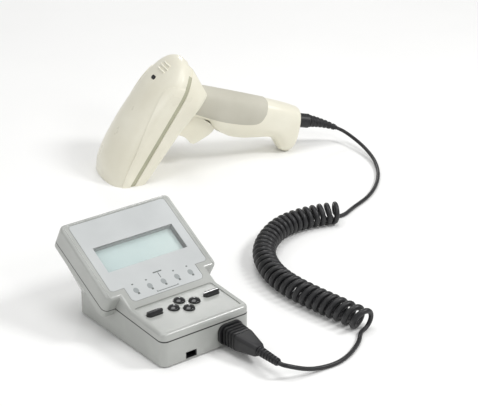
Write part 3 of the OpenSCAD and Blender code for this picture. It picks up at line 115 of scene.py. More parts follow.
# Plug in the console's front, and the bent relief behind the handle's butt
PLUG = CONSOLE @ moved(22, 0, 12.4) @ turned("X", 90)
PLUG_LEN, PLUG_RELIEF_LEN = 39.5, 23.5
TAIL_LEN, TAIL_N, COLLAR_LEN, BEND_SHARE = 47, -13.2, 14.5, 0.42
TAIL = HANDLE @ moved(BUTT_AT + BUTT_LEAN * TAIL_N, 0, TAIL_N) @ turned("Y", 90 - math.degrees(math.atan(-BUTT_LEAN)))
TAIL_BEND = COLLAR_LEN + BEND_SHARE * (TAIL_LEN - COLLAR_LEN)
TAIL_TURN, TAIL_FALL = math.radians(27), math.radians(24)
TAIL_DIR = Vector((
    math.cos(TAIL_FALL) * math.cos(TAIL_TURN), -math.cos(TAIL_FALL) * math.sin(TAIL_TURN), -math.sin(TAIL_FALL)))
TAIL_END = TAIL @ Vector((0, 0, TAIL_BEND)) + (TAIL_LEN - TAIL_BEND) * TAIL_DIR


def display_yz(u, w):
    """Place in the console's side view of a point given along and above the display face."""
    c, s = math.cos(math.radians(TILT)), math.sin(math.radians(TILT))
    return DISP_Y + u * c - w * s, DISP_Z + u * s + w * c


# The two places where the parting line changes its slope
SEAM_BENDS = display_yz(0, -SEAM_FRONT_W), display_yz(DISP_LEN, -SEAM_BACK_W)


def lookup(x, table):
    """Value at x on straight lines between the table's points."""
    if x <= table[0][0]:
        return table[0][1]
    for (x0, y0), (x1, y1) in zip(table, table[1:]):
        if x <= x1:
            return y0 + (y1 - y0) * (x - x0) / (x1 - x0)
    return table[-1][1]


def eased(x, table):
    """Value at x on a smooth line through the table's points that never overshoots them."""
    if x <= table[0][0]:
        return table[0][1]
    if x >= table[-1][0]:
        return table[-1][1]
    k = max(i for i in range(len(table) - 1) if table[i][0] <= x)

    def pitch(i):
        return (table[i + 1][1] - table[i][1]) / (table[i + 1][0] - table[i][0])

    def slope(i):
        if i == 0:
            return pitch(0)
        if i == len(table) - 1:
            return pitch(i - 1)
        before, after = pitch(i - 1), pitch(i)
        if before * after <= 0:
            return 0.0
        h0, h1 = table[i][0] - table[i - 1][0], table[i + 1][0] - table[i][0]
        w0, w1 = 2 * h1 + h0, h1 + 2 * h0
        return (w0 + w1) / (w0 / before + w1 / after)

    (x0, y0), (x1, y1) = table[k], table[k + 1]
    h = x1 - x0
    t = (x - x0) / h
    return (
        y0 * (2 * t**3 - 3 * t**2 + 1) + slope(k) * h * (t**3 - 2 * t**2 + t)
        + y1 * (3 * t**2 - 2 * t**3) + slope(k + 1) * h * (t**3 - t**2)
    )


def spread(low, high, count):
    """Evenly spaced values from low to high, both included."""
    return [low + (high - low) * i / (count - 1) for i in range(count)]


# ---------------------------------------------------------------- materials
def colour(hex_code):
    """Linear colour of an sRGB hex code, opaque."""
    parts = [int(hex_code[i:i + 2], 16) / 255 for i in (1, 3, 5)]
    return [p / 12.92 if p <= 0.04045 else ((p + 0.055) / 1.055) ** 2.4 for p in parts] + [1.0]


def node(tree, kind, inputs=None, **settings):
    """Adds one node, sets its properties and its inputs; an input given as a socket is linked."""
    made = tree.nodes.new(kind)
    for key, value in settings.items():
        setattr(made, key, value)
    for key, value in (inputs or {}).items():
        if isinstance(value, bpy.types.NodeSocket):
            tree.links.new(value, made.inputs[key])
        else:
            made.inputs[key].default_value = value
    return made


def sum_of(tree, kind, first, second=0.0, third=0.0, clamped=False):
    """One step of arithmetic in a node tree."""
    made = node(tree, "ShaderNodeMath", {0: first, 1: second, 2: third}, operation=kind, use_clamp=clamped)
    return made.outputs["Value"]


def new_finish(name, *tint):
    """New material, its tree, shader and Object coordinates; tint gives two close colours and the patches' scale."""
    made = bpy.data.materials.new(name)
    made.use_nodes = True
    tree = made.node_tree
    tree.nodes.clear()
    shader = node(tree, "ShaderNodeBsdfPrincipled")
    out = node(tree, "ShaderNodeOutputMaterial")
    tree.links.new(shader.outputs["BSDF"], out.inputs["Surface"])
    place = node(tree, "ShaderNodeTexCoord").outputs["Object"]
    if tint:
        tree.links.new(tinted(tree, place, *tint), shader.inputs["Base Color"])
    return made, tree, shader, place


def tinted(tree, place, pale, dark, scale):
    """Soft patches between two close colours, the size of the patches set by scale per metre."""
    cloud = node(tree, "ShaderNodeTexNoise", {"Vector": place, "Scale": scale, "Detail": 3.0})
    ramp = node(tree, "ShaderNodeValToRGB", {"Fac": cloud.outputs["Fac"]})
    for stop, position, tone in zip(ramp.color_ramp.elements, (0.35, 0.7), (dark, pale)):
        stop.position, stop.color = position, colour(tone)
    return ramp.outputs["Color"]


def ranged(tree, value, low, high):
    """A value from 0 to 1, spread between two others."""
    return node(tree, "ShaderNodeMapRange", {"Value": value, "To Min": low, "To Max": high}).outputs["Result"]


def smeared(tree, shader, place, scale, rough, detail=2.0):
    """Roughness that wanders between two values, as handling leaves it."""
    smear = node(tree, "ShaderNodeTexNoise", {"Vector": place, "Scale": scale, "Detail": detail})
    tree.links.new(ranged(tree, smear.outputs["Fac"], *rough), shader.inputs["Roughness"])


def grained(tree, shader, place, grain_mm, depth_mm, strength, rough):
    """Spark-eroded mould grain: fine bump, and roughness that changes with it."""
    grain = node(tree, "ShaderNodeTexNoise", {"Vector": place, "Scale": 1 / (grain_mm * MM), "Detail": 2.0})
    bump = node(tree, "ShaderNodeBump", {
        "Height": grain.outputs["Fac"], "Distance": depth_mm * MM, "Strength": strength})
    tree.links.new(bump.outputs["Normal"], shader.inputs["Normal"])
    smeared(tree, shader, place, 45.0, rough, 4.0)


def moulded_plastic(name, pale, dark, grain_mm, depth_mm, rough, specular=0.5, strength=0.5):
    """Moulded plastic with a fine even grain and faint handling marks."""
    made, tree, shader, place = new_finish(name, pale, dark, 22.0)
    shader.inputs["Specular IOR Level"].default_value = specular
    grained(tree, shader, place, grain_mm, depth_mm, strength, rough)
    return made


def with_parting_line(made, half_mm, tone):
    """Darkens the lips of the case's parting line, so that it reads as the shadow line it is from a step away."""
    tree = made.node_tree
    shader = next(n for n in tree.nodes if n.type == "BSDF_PRINCIPLED")
    place = next(n for n in tree.nodes if n.type == "TEX_COORD").outputs["Object"]
    plain = shader.inputs["Base Color"].links[0].from_socket
    (y1, z1), (y2, z2) = SEAM_BENDS
    apart = node(tree, "ShaderNodeSeparateXYZ", {"Vector": place}).outputs
    y = sum_of(tree, "MULTIPLY_ADD", apart["Y"], 1 / MM, -CONSOLE.translation.y)
    z = sum_of(tree, "MULTIPLY", apart["Z"], 1 / MM)
    slope = (z1 - SEAM_FRONT_H) / y1
    low = sum_of(tree, "MULTIPLY_ADD", sum_of(tree, "MINIMUM", y, y1), slope, SEAM_FRONT_H - SEAM_GAP / 2)
    high = sum_of(tree, "MAXIMUM", sum_of(tree, "SUBTRACT", y, y1), 0.0)
    level = sum_of(tree, "MULTIPLY_ADD", high, (z2 - z1) / (y2 - y1), low)
    away = sum_of(tree, "ABSOLUTE", sum_of(tree, "SUBTRACT", z, level))
    shade = node(tree, "ShaderNodeMapRange", {
        "Value": away, "From Min": half_mm * 0.55, "From Max": half_mm, "To Min": 1.0, "To Max": 0.0})
    mixed = node(tree, "ShaderNodeMix", {0: shade.outputs["Result"], 6: plain, 7: colour(tone)}, data_type="RGBA")
    tree.links.new(mixed.outputs[2], shader.inputs["Base Color"])
    return made


def plated_metal(name):
    """Bright zinc or nickel plate with fine turning marks."""
    made, tree, shader, place = new_finish(name, "#C9C9CC", "#A9AAAD", 160.0)
    shader.inputs["Metallic"].default_value = 1.0
    grained(tree, shader, place, 0.35, 0.01, 0.4, (0.18, 0.32))
    return made


def circuit_board(name):
    """Green solder mask over copper tracks, which stand a little proud."""
    made, tree, shader, place = new_finish(name)
    tracks = node(tree, "ShaderNodeTexVoronoi", {"Vector": place, "Scale": 420.0},
                  feature="F1", distance="CHEBYCHEV")
    step = node(tree, "ShaderNodeValToRGB", {"Fac": tracks.outputs["Distance"]})
    step.color_ramp.interpolation = "CONSTANT"
    step.color_ramp.elements[0].color = colour("#2C6B45")
    step.color_ramp.elements[1].position = 0.42
    step.color_ramp.elements[1].color = colour("#1C5232")
    tree.links.new(step.outputs["Color"], shader.inputs["Base Color"])
    bump = node(tree, "ShaderNodeBump", {"Height": tracks.outputs["Distance"], "Distance": 0.00006, "Strength": 0.4})
    tree.links.new(bump.outputs["Normal"], shader.inputs["Normal"])
    shader.inputs["Roughness"].default_value = 0.28
    return made


def clear_acrylic(name):
    """Thin clear window: nearly see-through, with a hard glossy face."""
    made, tree, shader, place = new_finish(name, "#F2F7F6", "#E6EEEC", 30.0)
    shader.inputs["Alpha"].default_value = 0.10
    smeared(tree, shader, place, 60.0, (0.03, 0.10), 3.0)
    return made


def display_cell(name):
    """Pale reflective liquid-crystal cell, unlit, under a faint gloss coat."""
    made, tree, shader, place = new_finish(name, "#D3E2DF", "#BDD0D0", 14.0)
    shader.inputs["Coat Weight"].default_value = 0.4
    shader.inputs["Coat Roughness"].default_value = 0.08
    grained(tree, shader, place, 0.6, 0.004, 0.2, (0.2, 0.28))
    return made


def tinted_glass(name, tone, alpha, rough=0.06):
    """Coloured filter or lens: deep tint, hard gloss."""
    made, tree, shader, place = new_finish(name, tone, tone, 40.0)
    shader.inputs["Alpha"].default_value = alpha
    shader.inputs["Coat Weight"].default_value = 0.6
    shader.inputs["Coat Roughness"].default_value = 0.04
    smeared(tree, shader, place, 80.0, (rough, rough + 0.06))
    return made


FINISHES = {}


def make_finishes(p):
    """All finishes: the record's slots by their names, and a few extra ones for the scene's own pieces."""
    abs_case = (p.case_colour, "#A9ABA7", 0.8, 0.015, (0.2, 0.28), 0.8)
    FINISHES.update({
        # Console case: spark-textured ABS, cool light grey
        "case_grey": moulded_plastic("grey_abs_spark_finish", *abs_case),
        # The case halves: the same ABS, with painted shade along the lips of the parting line where the halves meet
        "case_halves": with_parting_line(moulded_plastic("grey_abs_with_parting_line", *abs_case), 0.75, "#4A4B4A"),
        # Face label: satin polycarbonate film, slightly cooler and paler
        "label_grey": moulded_plastic(
            "satin_polycarbonate_film", p.label_colour, "#BFC2C2", 0.35, 0.008, (0.3, 0.4), strength=0.3),
        # Window pane, display, plated metal parts and circuit boards
        "clear_pane": clear_acrylic("clear_acrylic_window"),
        "lcd_glass": display_cell("liquid_crystal_cell"),
        "plated_steel": plated_metal("zinc_plated_steel"),
        "board_green": circuit_board("solder_masked_board"),
        # Frosted, unlit indicator lenses
        "led_lens": moulded_plastic("frosted_indicator_lens", "#A2A8A5", "#959B98", 0.3, 0.01, (0.25, 0.35)),
        # Keycaps: glossy black ABS, lightly polished by use
        "key_black": moulded_plastic("polished_black_keycap", "#141517", "#0B0C0D", 0.5, 0.004, (0.07, 0.13), 0.8, 0.2),
        # Inside: the key mat, the black frames and the cells' jackets; below: the feet
        "mat_rubber": moulded_plastic("silicone_key_mat", "#5C5C5E", "#505052", 0.6, 0.02, (0.55, 0.7)),
        "black_plastic": moulded_plastic("black_glass_filled_nylon", "#1A1A1C", "#101012", 0.5, 0.02, (0.4, 0.55)),
        "cell_jacket": moulded_plastic("printed_cell_jacket", "#B89B3E", "#A88C34", 1.0, 0.01, (0.25, 0.4)),
        "foot_rubber": moulded_plastic("moulded_foot_rubber", "#1F1F20", "#161617", 0.5, 0.02, (0.65, 0.8), 0.3),
        # Scanner shells: warm cream ABS with a satin spark finish
        "scanner_cream": moulded_plastic(
            "cream_abs_spark_finish", p.scanner_colour, "#E6E2D0", 0.7, 0.02, (0.24, 0.34)),
        # Grip skin: soft overmoulded elastomer, a shade greyer than the shells
        "grip_rubber": moulded_plastic(
            "overmoulded_grip_elastomer", "#C9C6B9", "#BEBBAD", 0.5, 0.03, (0.55, 0.68), 0.35),
        # Strip in the groove between the head's shells: a darker olive grey, with a matt finish like the grip's
        "olive_strip": moulded_plastic("olive_seal_elastomer", "#BDBCA6", "#B2B19A", 0.5, 0.03, (0.5, 0.62), 0.35),
        # Painted shadow on the lips of the parting line where the two case halves meet
        "seam": moulded_plastic("dark_seam_gasket", "#2E2F2E", "#262726", 0.5, 0.01, (0.6, 0.7)),
        # Lining of the window's recess: matt dark grey, partly the frame's own colour and partly painted shade of the
        # recess
        "bezel": moulded_plastic("dark_grey_window_bezel", "#8A8D8C", "#7E8180", 0.5, 0.01, (0.45, 0.55)),
        # Lamp symbols on the label: pale grey ink, the lamps behind it unlit
        "lamp_ink": moulded_plastic("translucent_grey_ink", "#9EA3A3", "#959A9A", 0.5, 0.004, (0.35, 0.45)),
        # Marks on the label: screen-printed grey ink
        "ink": moulded_plastic("screen_printed_ink", "#6C716F", "#666B69", 0.5, 0.004, (0.4, 0.5)),
        # Reading window and, behind it, the imaging engine with its lens
        "red_window": tinted_glass("red_filter_window", "#3A0507", 0.85),
        "engine_metal": moulded_plastic("black_anodised_casting", "#202124", "#17181A", 0.4, 0.015, (0.35, 0.5)),
        "lens_glass": tinted_glass("coated_lens_glass", "#10121C", 0.95, 0.02),
        # Cord, plug and reliefs: satin black thermoplastic rubber
        "cord_black": moulded_plastic("satin_black_cord_jacket", "#222224", "#18181A", 0.6, 0.02, (0.36, 0.5), 0.5),
    })


# ---------------------------------------------------------------- mesh tools
def add_mesh(name, points, faces, place=None, finish=None, smooth=38.0):
    """New object in metres from points in millimetres in a local frame."""
    place = place or Matrix.Identity(4)
    mesh = bpy.data.meshes.new(name)
    mesh.from_pydata([(place @ Vector(p)) * MM for p in points], [], faces)
    made = bpy.data.objects.new(name, mesh)
    bpy.context.scene.collection.objects.link(made)
    tidy_mesh(made, smooth)
    if finish:
        coat(made, finish)
    return made


def coat(made, finish):
    """Gives a piece its finish."""
    made.data.materials.append(FINISHES[finish])


def settle(made, body="stand", *replaced):
    """Attaches a piece to the body it moves with, and hides the CAD nodes it stands for."""
    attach(made, body)
    if replaced:
        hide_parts(*replaced)


def extruded(name, outlines, low, high, place, finish=None, sideways=False):
    """Flat-ended solids as one mesh, from outlines in a frame's X-Y plane, or in its X-Z plane when sideways."""
    points, faces = [], []
    for outline in outlines:
        base, n = len(points), len(outline)
        for level in (low, high):
            points += [(u, level, v) if sideways else (u, v, level) for u, v in outline]
        faces += [tuple(base + k for k in range(n)), tuple(base + n + k for k in reversed(range(n)))]
        faces += [(base + k, base + (k + 1) % n, base + n + (k + 1) % n, base + n + k) for k in range(n)]
    return add_mesh(name, points, faces, place, finish, 30)


def held_in_box(made):
    """Draws in what passes the CAD's box by a hair, after a groove line or a raised band moved outwards."""
    low, high = CAD_BOX
    for corner in made.data.vertices:
        corner.co = [min(max(c, a), b) for c, a, b in zip(corner.co, low, high)]


def tidy_mesh(made, smooth=38.0, merge=0.00001):
    """Merges doubled points, turns the faces outwards and marks edges sharper than an angle."""
    work = bmesh.new()
    work.from_mesh(made.data)
    bmesh.ops.remove_doubles(work, verts=work.verts, dist=merge)
    bmesh.ops.recalc_face_normals(work, faces=work.faces)
    for face in work.faces:
        face.smooth = True
    limit = math.radians(smooth)
    for edge in work.edges:
        edge.smooth = not edge.is_manifold or edge.calc_face_angle(0) < limit
    work.to_mesh(made.data)
    work.free()
    made.data.update()


def apply_modifiers(made):
    """Bakes the object's modifiers into its mesh."""
    graph = bpy.context.evaluated_depsgraph_get()
    baked = bpy.data.meshes.new_from_object(made.evaluated_get(graph), depsgraph=graph)
    baked.name = made.data.name
    old = made.data
    made.modifiers.clear()
    made.data = baked
    bpy.data.meshes.remove(old)


def even_shading(made):
    """Weights the normals by face area, so that flat faces stay flat up to their rounded edges."""
    weigh = made.modifiers.new("even_shading", "WEIGHTED_NORMAL")
    weigh.keep_sharp = True
    weigh.weight = 80
    apply_modifiers(made)


def cad_objects(name):
    """The imported objects of one CAD node."""
    return [o for o in bpy.data.objects if o.name == name or o.get("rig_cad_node") == name]


# Refined copies, in degrees: faces flatter than this are joined, and edges sharper than this stay sharp
JOINED_BELOW, SHARP_ABOVE = 0.4, 32.0


def refined_copy(source, name, bevel_mm, segments, finish):
    """A finer piece from a CAD node's mesh: merged, its flat faces joined, its sharp edges rounded."""
    origin = cad_objects(source)[0]
    made = bpy.data.objects.new(name, origin.data.copy())
    made.data.materials.clear()
    made.matrix_world = Matrix.Identity(4)
    bpy.context.scene.collection.objects.link(made)
    work = bmesh.new()
    work.from_mesh(made.data)
    bmesh.ops.remove_doubles(work, verts=work.verts, dist=0.00001)
    bmesh.ops.dissolve_limit(work, angle_limit=math.radians(JOINED_BELOW), verts=work.verts, edges=work.edges)
    bmesh.ops.recalc_face_normals(work, faces=work.faces)
    work.to_mesh(made.data)
    work.free()
    if bevel_mm:
        round_edges(made, bevel_mm, segments)
    tidy_mesh(made, SHARP_ABOVE, 0.000002)
    even_shading(made)
    coat(made, finish)
    return made


def round_edges(made, width_mm, segments=2, angle=30.0):
    """Rounds every edge that is sharper than an angle in degrees."""
    bevel = made.modifiers.new("edge_rounding", "BEVEL")
    bevel.width = width_mm * MM
    bevel.segments = segments
    bevel.limit_method = "ANGLE"
    bevel.angle_limit = math.radians(angle)
    bevel.use_clamp_overlap = True
    bevel.miter_outer = "MITER_ARC"
    apply_modifiers(made)


def smooth_tube(path, radii, sides):
    """Points and faces of a closed tube swept along a path, its section carried without twist."""
    rings, last = [], len(path) - 1
    carried = Vector((0, 0, 1))
    turns = [math.tau * (k + 0.5) / sides for k in range(sides)]
    for i, at in enumerate(path):
        ahead = (path[min(i + 1, last)] - path[max(i - 1, 0)]).normalized()
        carried = (carried - carried.dot(ahead) * ahead).normalized()
        across = ahead.cross(carried)
        rings.append([at + radii[i] * (math.cos(t) * carried + math.sin(t) * across) for t in turns])
    return loft(rings)


def loft(rings, wall_ring=False):
    """Points and faces of a skin over rings with equal counts; a ring round a wall is closed by strips."""
    n = len(rings[0])
    points = [p for ring in rings for p in ring]
    faces = []
    for i in range(len(rings) - 1):
        for k in range(n):
            a, b = i * n + k, i * n + (k + 1) % n
            faces.append((a, b, b + n, a + n))
    last = (len(rings) - 1) * n
    if wall_ring:
        strips = [(k, k + 1, n - 2 - k, n - 1 - k) for k in range(n // 2 - 1)]
        faces += [tuple(reversed(f)) for f in strips] + [tuple(i + last for i in f) for f in strips]
    else:
        faces += [tuple(reversed(range(n))), tuple(last + k for k in range(n))]
    return points, faces


# ---------------------------------------------------------------- cord, its route as in the part's source
# Middle of the coil on the floor, from the plug's end of it to the scanner's
SPINE = [Vector(p) for p in (
    (-16.5, -243.5), (-20.5, -214.4), (-23.7, -190.3), (-25.7, -165), (-24.1, -139.9), (-16.6, -115.8),
    (-4.1, -94.4), (13.7, -77.4), (36.1, -64.7), (58.1, -60.3), (81.1, -62.6), (102.4, -69.6))]
CORD_D, CORD_LIFT = 3.6, 0.05
CORD_R = CORD_D / 2
ON_FLOOR = CORD_R + CORD_LIFT
# Free stretches: from the plug to the coil, and from the handle to the coil
LOWER_ROUTE = [
    (-115.9, -259.2, 12.1), (-113, -262, 11.3), (-108.6, -263.9, 9.6), (-103.3, -265.2, 7.4), (-97.4, -266.3, 5.3),
    (-91, -267, 3.6), (-85, -267.4, 2.5), (-79.3, -267.9, 1.95), (-73.9, -268.5, ON_FLOOR), (-67.2, -268.3, ON_FLOOR),
    (-60.3, -266.9, ON_FLOOR), (-53.4, -264.6, ON_FLOOR), (-46.9, -261.6, ON_FLOOR), (-40.7, -258.2, ON_FLOOR),
    (-34.9, -254.6, ON_FLOOR), (-29.8, -250.5, ON_FLOOR), (-25.3, -246.3, ON_FLOOR), (-21.4, -243.2, ON_FLOOR)]
UPPER_ROUTE = [
    (233.3, 79, 14.9), (235.6, 76.2, 13.4), (236.9, 71.6, 11.9), (237.2, 66, 10.7), (236.8, 59, 9.5),
    (236, 51.5, 8.3), (234.8, 44, 7.1), (232.6, 35.5, 6), (229.6, 26.5, 5), (225.8, 17.5, 4.1),
    (221.1, 8.5, 3.2), (215.2, -0.5, 2.5), (208.1, -9.5, 2.1), (200.1, -18, ON_FLOOR), (190.9, -26.5, ON_FLOOR),
    (180.8, -34.4, ON_FLOOR), (170, -41.4, ON_FLOOR), (158.5, -47.4, ON_FLOOR), (146.3, -52, ON_FLOOR),
    (135, -56, ON_FLOOR), (126.6, -59.4, ON_FLOOR), (121.6, -61.5, ON_FLOOR), (117.4, -62.7, ON_FLOOR),
    (113, -63, 1.9), (109.9, -62.5, 2.45), (107.45, -61.9, 4.06), (105.82, -61.55, 6.5)]
COIL_D = 21
COIL_R = (COIL_D - CORD_D) / 2
FIRST_TURN, LAST_TURN = -0.25, 35.5
# The rings lean back, so that their tops lie towards the plug, and stand upright at the far end
COIL_LEAN, UPRIGHT_TURNS = 0.26, 1.5
# Straight run between a coil end and its free stretch, and the cord's depth inside each relief
END_RUN, SEAT = 0.6, 1.5
# The jacket is thicker in the curls than in the free stretches; it swells over the first part of a turn
CURL_R = 2.6
SWELL_TURNS = 0.7


def curve_point(p0, p1, p2, p3, t):
    """Point of the Catmull-Rom curve between p1 and p2."""
    return 0.5 * (2 * p1 + (p2 - p0) * t + (2 * p0 - 5 * p1 + 4 * p2 - p3) * t * t
                  + (3 * p1 - p0 - 3 * p2 + p3) * t**3)


def spine_at(u):
    """Point of the coil's axis on the floor, u in spans of the table."""
    spans = len(SPINE) - 1
    i = min(int(math.floor(u)), spans - 1)

    def at(k):
        if k < 0:
            return 2 * SPINE[0] - SPINE[1]
        return SPINE[k] if k <= spans else 2 * SPINE[-1] - SPINE[-2]
    return curve_point(at(i - 1), at(i), at(i + 1), at(i + 2), u - i)


def spine_heading(u):
    """Direction of the coil's axis."""
    spans = len(SPINE) - 1
    return (spine_at(min(u + 0.01, spans)) - spine_at(max(u - 0.01, 0))).normalized()


def ease(t):
    """Soft step from 0 to 1."""
    c = min(max(t, 0), 1)
    return c * c * (3 - 2 * c)


def swell(turn):
    """How much thicker the jacket is at a turn of the coil."""
    return (CURL_R - CORD_R) * ease(min(turn - FIRST_TURN, LAST_TURN - turn) / SWELL_TURNS)


def helix_point(turn):
    """Point on the left-handed coil, which lies on the floor along the spine."""
    u = (len(SPINE) - 1) * (turn - FIRST_TURN) / (LAST_TURN - FIRST_TURN)
    ahead, centre, angle = spine_heading(u), spine_at(u), 2 * math.pi * turn
    ring_r = COIL_R - swell(turn)
    across, rise = ring_r * math.cos(angle), ring_r * math.sin(angle)
    back = rise * COIL_LEAN * ease((LAST_TURN - turn) / UPRIGHT_TURNS)
    return Vector((
        centre.x + across * ahead.y - back * ahead.x, centre.y - across * ahead.x - back * ahead.y,
        ON_FLOOR + COIL_R + rise))


def smooth_path(points, steps):
    """A route's points with the curve between them, in steps."""
    made = []
    for i in range(len(points) - 1):
        p0, p3 = points[max(i - 1, 0)], points[min(i + 2, len(points) - 1)]
        made += [curve_point(p0, points[i], points[i + 1], p3, k / steps) for k in range(steps)]
    return made + [points[-1]]


# Points of the cord's centre line per turn of the coil, and per span of a free stretch
COIL_STEPS, FREE_STEPS = 26, 4


def cord_path():
    """The whole cord's centre line, from inside the plug's relief to inside the handle's relief."""
    plug_end = PLUG @ Vector((0, 0, PLUG_LEN + PLUG_RELIEF_LEN))
    plug_dir = Vector((0, -1, 0))
    start_dir = (helix_point(FIRST_TURN + 0.001) - helix_point(FIRST_TURN)).normalized()
    stop_dir = (helix_point(LAST_TURN) - helix_point(LAST_TURN - 0.001)).normalized()
    coil_start = helix_point(FIRST_TURN) - END_RUN * start_dir
    coil_stop = helix_point(LAST_TURN) + END_RUN * stop_dir
    lower = [plug_end + 2 * END_RUN * plug_dir, *map(Vector, LOWER_ROUTE), coil_start - END_RUN * start_dir]
    upper = [TAIL_END + 2 * END_RUN * TAIL_DIR, *map(Vector, UPPER_ROUTE), coil_stop + END_RUN * stop_dir]
    turns = spread(FIRST_TURN, LAST_TURN, round(COIL_STEPS * (LAST_TURN - FIRST_TURN)) + 1)
    before = [plug_end - SEAT * plug_dir, plug_end] + smooth_path(lower, FREE_STEPS)
    after = list(reversed(smooth_path(upper, FREE_STEPS))) + [TAIL_END, TAIL_END - SEAT * TAIL_DIR]
    radii = [CORD_R] * len(before) + [CORD_R + swell(t) for t in turns] + [CORD_R] * len(after)
    return before + [helix_point(t) for t in turns] + after, radii


# ---------------------------------------------------------------- scanner outlines, in the head's frame
# Tables give a value, mostly a height, against the place along the head's or the handle's axis
HEAD_HALF_W, HEAD_LEN, SHOULDER_B, SHELL_WALL = 38.5, 121, 28.5, 2.4
ROUND_START, ROUND_POWER = 84, 2.2
GROOVE_DEPTH, GROOVE_W = 1.8, 4.2
FLOOR_LEAN = -1 / math.tan(math.radians(HEAD_ANGLE))
CROWN = [
    (-40, 20), (-34, 23), (-23, 30.7), (-18, 34.3), (-9, 39.8), (2, 42.6), (14, 44.4), (43, 46),
    (76, 44.5), (90, 42), (105, 38.5), (113, 36), (118, 33), (121, 29.5)]
SHOULDER = [(-40, 0.3), (-20, 0.5), (10, 0.77), (45, 0.95), (80, 1), (110, 1), (121, 0.96)]
# Middle of the groove between the shells; it follows the photograph, and the source's differs at the nose
GROOVE = [(-60, 9.5), (130, 23)]
UNDERSIDE = [(-40, 0), (60, 0), REAR_CORNER, (121, -5.5)]
# Upper edge of the raised band on the cover's sides; it turns down into the groove at the rear
BAND = [
    (-40, 13), (-20, 19.8), (-9, 23.3), (2, 26.2), (22.5, 29.8), (43, 34.2), (62.5, 36.9), (80, 38.2),
    (87, 38), (92, 36.2), (95.5, 33.3), (98, 25.7), (99.5, 20)]
BAND_PROUD, BAND_STEP = 1.1, 0.5
# Lean of the cross planes: the first lies on the floor, and the tub's last along the rear wall
COVER_LEAN = [
    (0, FLOOR_LEAN), (6.6, -0.677), (12.1, -0.563), (17.6, -0.472), (23.5, -0.333), (32.5, -0.213), (43, 0)]
REAR_LEAN = 0.567
REAR_PLANE_A = REAR_CORNER[0] - REAR_LEAN * REAR_CORNER[1]
TUB_LEAN = [
    (0, FLOOR_LEAN), (8, -0.5), (20, -0.25), (43, 0), (76, 0), (84, 0.1), (90.5, 0.25), (95.5, 0.37),
    (99.5, 0.47), (REAR_PLANE_A - 3, REAR_LEAN), (REAR_PLANE_A, REAR_LEAN)]


def head_width(a, inset=0.0):
    """Half width of the head, which rounds off towards its rear end."""
    w, length = HEAD_HALF_W - inset, HEAD_LEN - inset - ROUND_START
    return w if a < ROUND_START else w * max(1 - ((a - ROUND_START) / length) ** ROUND_POWER, 0.01) ** 0.5


def groove_at(a):
    """Height of the groove's middle."""
    return lookup(a, GROOVE)


FIRST_GUESS_B = 20


def leaning(lean_start, lean, point, tries=28):
    """Solves for the place along the axis where a leaning plane meets the outline's point."""
    if lean == 0:
        return (lean_start, *point(lean_start))
    a = lean_start + lean * FIRST_GUESS_B
    for _ in range(tries):
        a = lean_start + lean * point(a)[1]
    return (a, *point(a))


# Points on the cover's side: up its wall, round to the band's edge, and over the dome
WALL_STEPS, BAND_STEPS, DOME_STEPS = 3, 6, 14
SIDE_COUNT = WALL_STEPS + 2 + BAND_STEPS + 2 + DOME_STEPS


def cover_side_point(a, k, inset):
    """Half width and height of point k, from the cover's lip (0) up to the crown (last)."""
    w, edge = head_width(a, inset), groove_at(a) + GROOVE_W / 2
    shoulder = max(SHOULDER_B * eased(a, SHOULDER), edge + 0.6)
    crown = max(eased(a + 0.4 * inset, CROWN) - inset, shoulder + 1)
    band = eased(a, BAND)
    rise = crown - shoulder

    def turn_at(b):
        return math.asin(min(max((b - shoulder) / rise, 0.0), 0.92))
    if k == 0:
        return w - 0.35, edge
    if k <= WALL_STEPS + 1:
        b, turn = edge + 0.35 + (shoulder - edge - 0.35) * (k - 1) / (WALL_STEPS + 1), 0.0
    elif k <= WALL_STEPS + 1 + BAND_STEPS:
        turn = turn_at(band - BAND_STEP) * (k - WALL_STEPS - 1) / BAND_STEPS
        b = shoulder + rise * math.sin(turn)
    else:
        start = turn_at(band)
        part = (k - WALL_STEPS - 2 - BAND_STEPS) / (SIDE_COUNT - 1 - WALL_STEPS - 2 - BAND_STEPS)
        turn = start + (math.pi / 2 - start) * part
        b = shoulder + rise * math.sin(turn)
    proud = 0.0 if inset else BAND_PROUD * min(max((band - b) / BAND_STEP, 0.0), 1.0)
    out = Vector((rise * math.cos(turn), w * math.sin(turn))).normalized() * proud
    return w * math.cos(turn) + out.x, b + out.y


def cover_ring(start, lean):
    """Closed ring: the outer skin from lip to lip, then the inner skin back."""
    def skin(inset):
        half = [leaning(start, lean, lambda a, k=k: cover_side_point(a, k, inset)) for k in range(SIDE_COUNT)]
        return half + [(a, -y, b) for a, y, b in reversed(half[:-1])]
    outer = skin(0)
    if start < HEAD_LEN - 4:
        inner = skin(SHELL_WALL)
    else:
        w, edge, last = max(head_width(start) - SHELL_WALL, 1.5), groove_at(start) + GROOVE_W / 2, len(outer) - 1
        inner = [(start, w * math.cos(math.pi * i / last), edge + 0.8 * math.sin(math.pi * i / last))
                 for i in range(last + 1)]
    return outer + inner[::-1]


CORNER_STEPS = 8


def tub_side_point(a, k, inner):
    """Half width and height of the tub's point k: lip, step, then round the lower corner."""
    low, lip = lookup(a, UNDERSIDE), groove_at(a) + GROOVE_W / 2 - SEAM_GAP
    if inner:
        w = head_width(a, GROOVE_DEPTH + SHELL_WALL)
        low += SHELL_WALL
        corner = min(5, (lip - low) * 0.3)
        if k < 4:
            return w, lip + (low + corner - lip) * k / 4
    else:
        w, step = head_width(a), groove_at(a) - GROOVE_W / 2
        corner = min(7, (step - low) * 0.6)
        if k < 4:
            return ((w - GROOVE_DEPTH, lip), (w - GROOVE_DEPTH, step), (w - 0.7, step), (w, step - 0.7))[k]
    turn = math.pi / 2 * (k - 4) / CORNER_STEPS
    return w - corner * (1 - math.cos(turn)), low + corner * (1 - math.sin(turn))


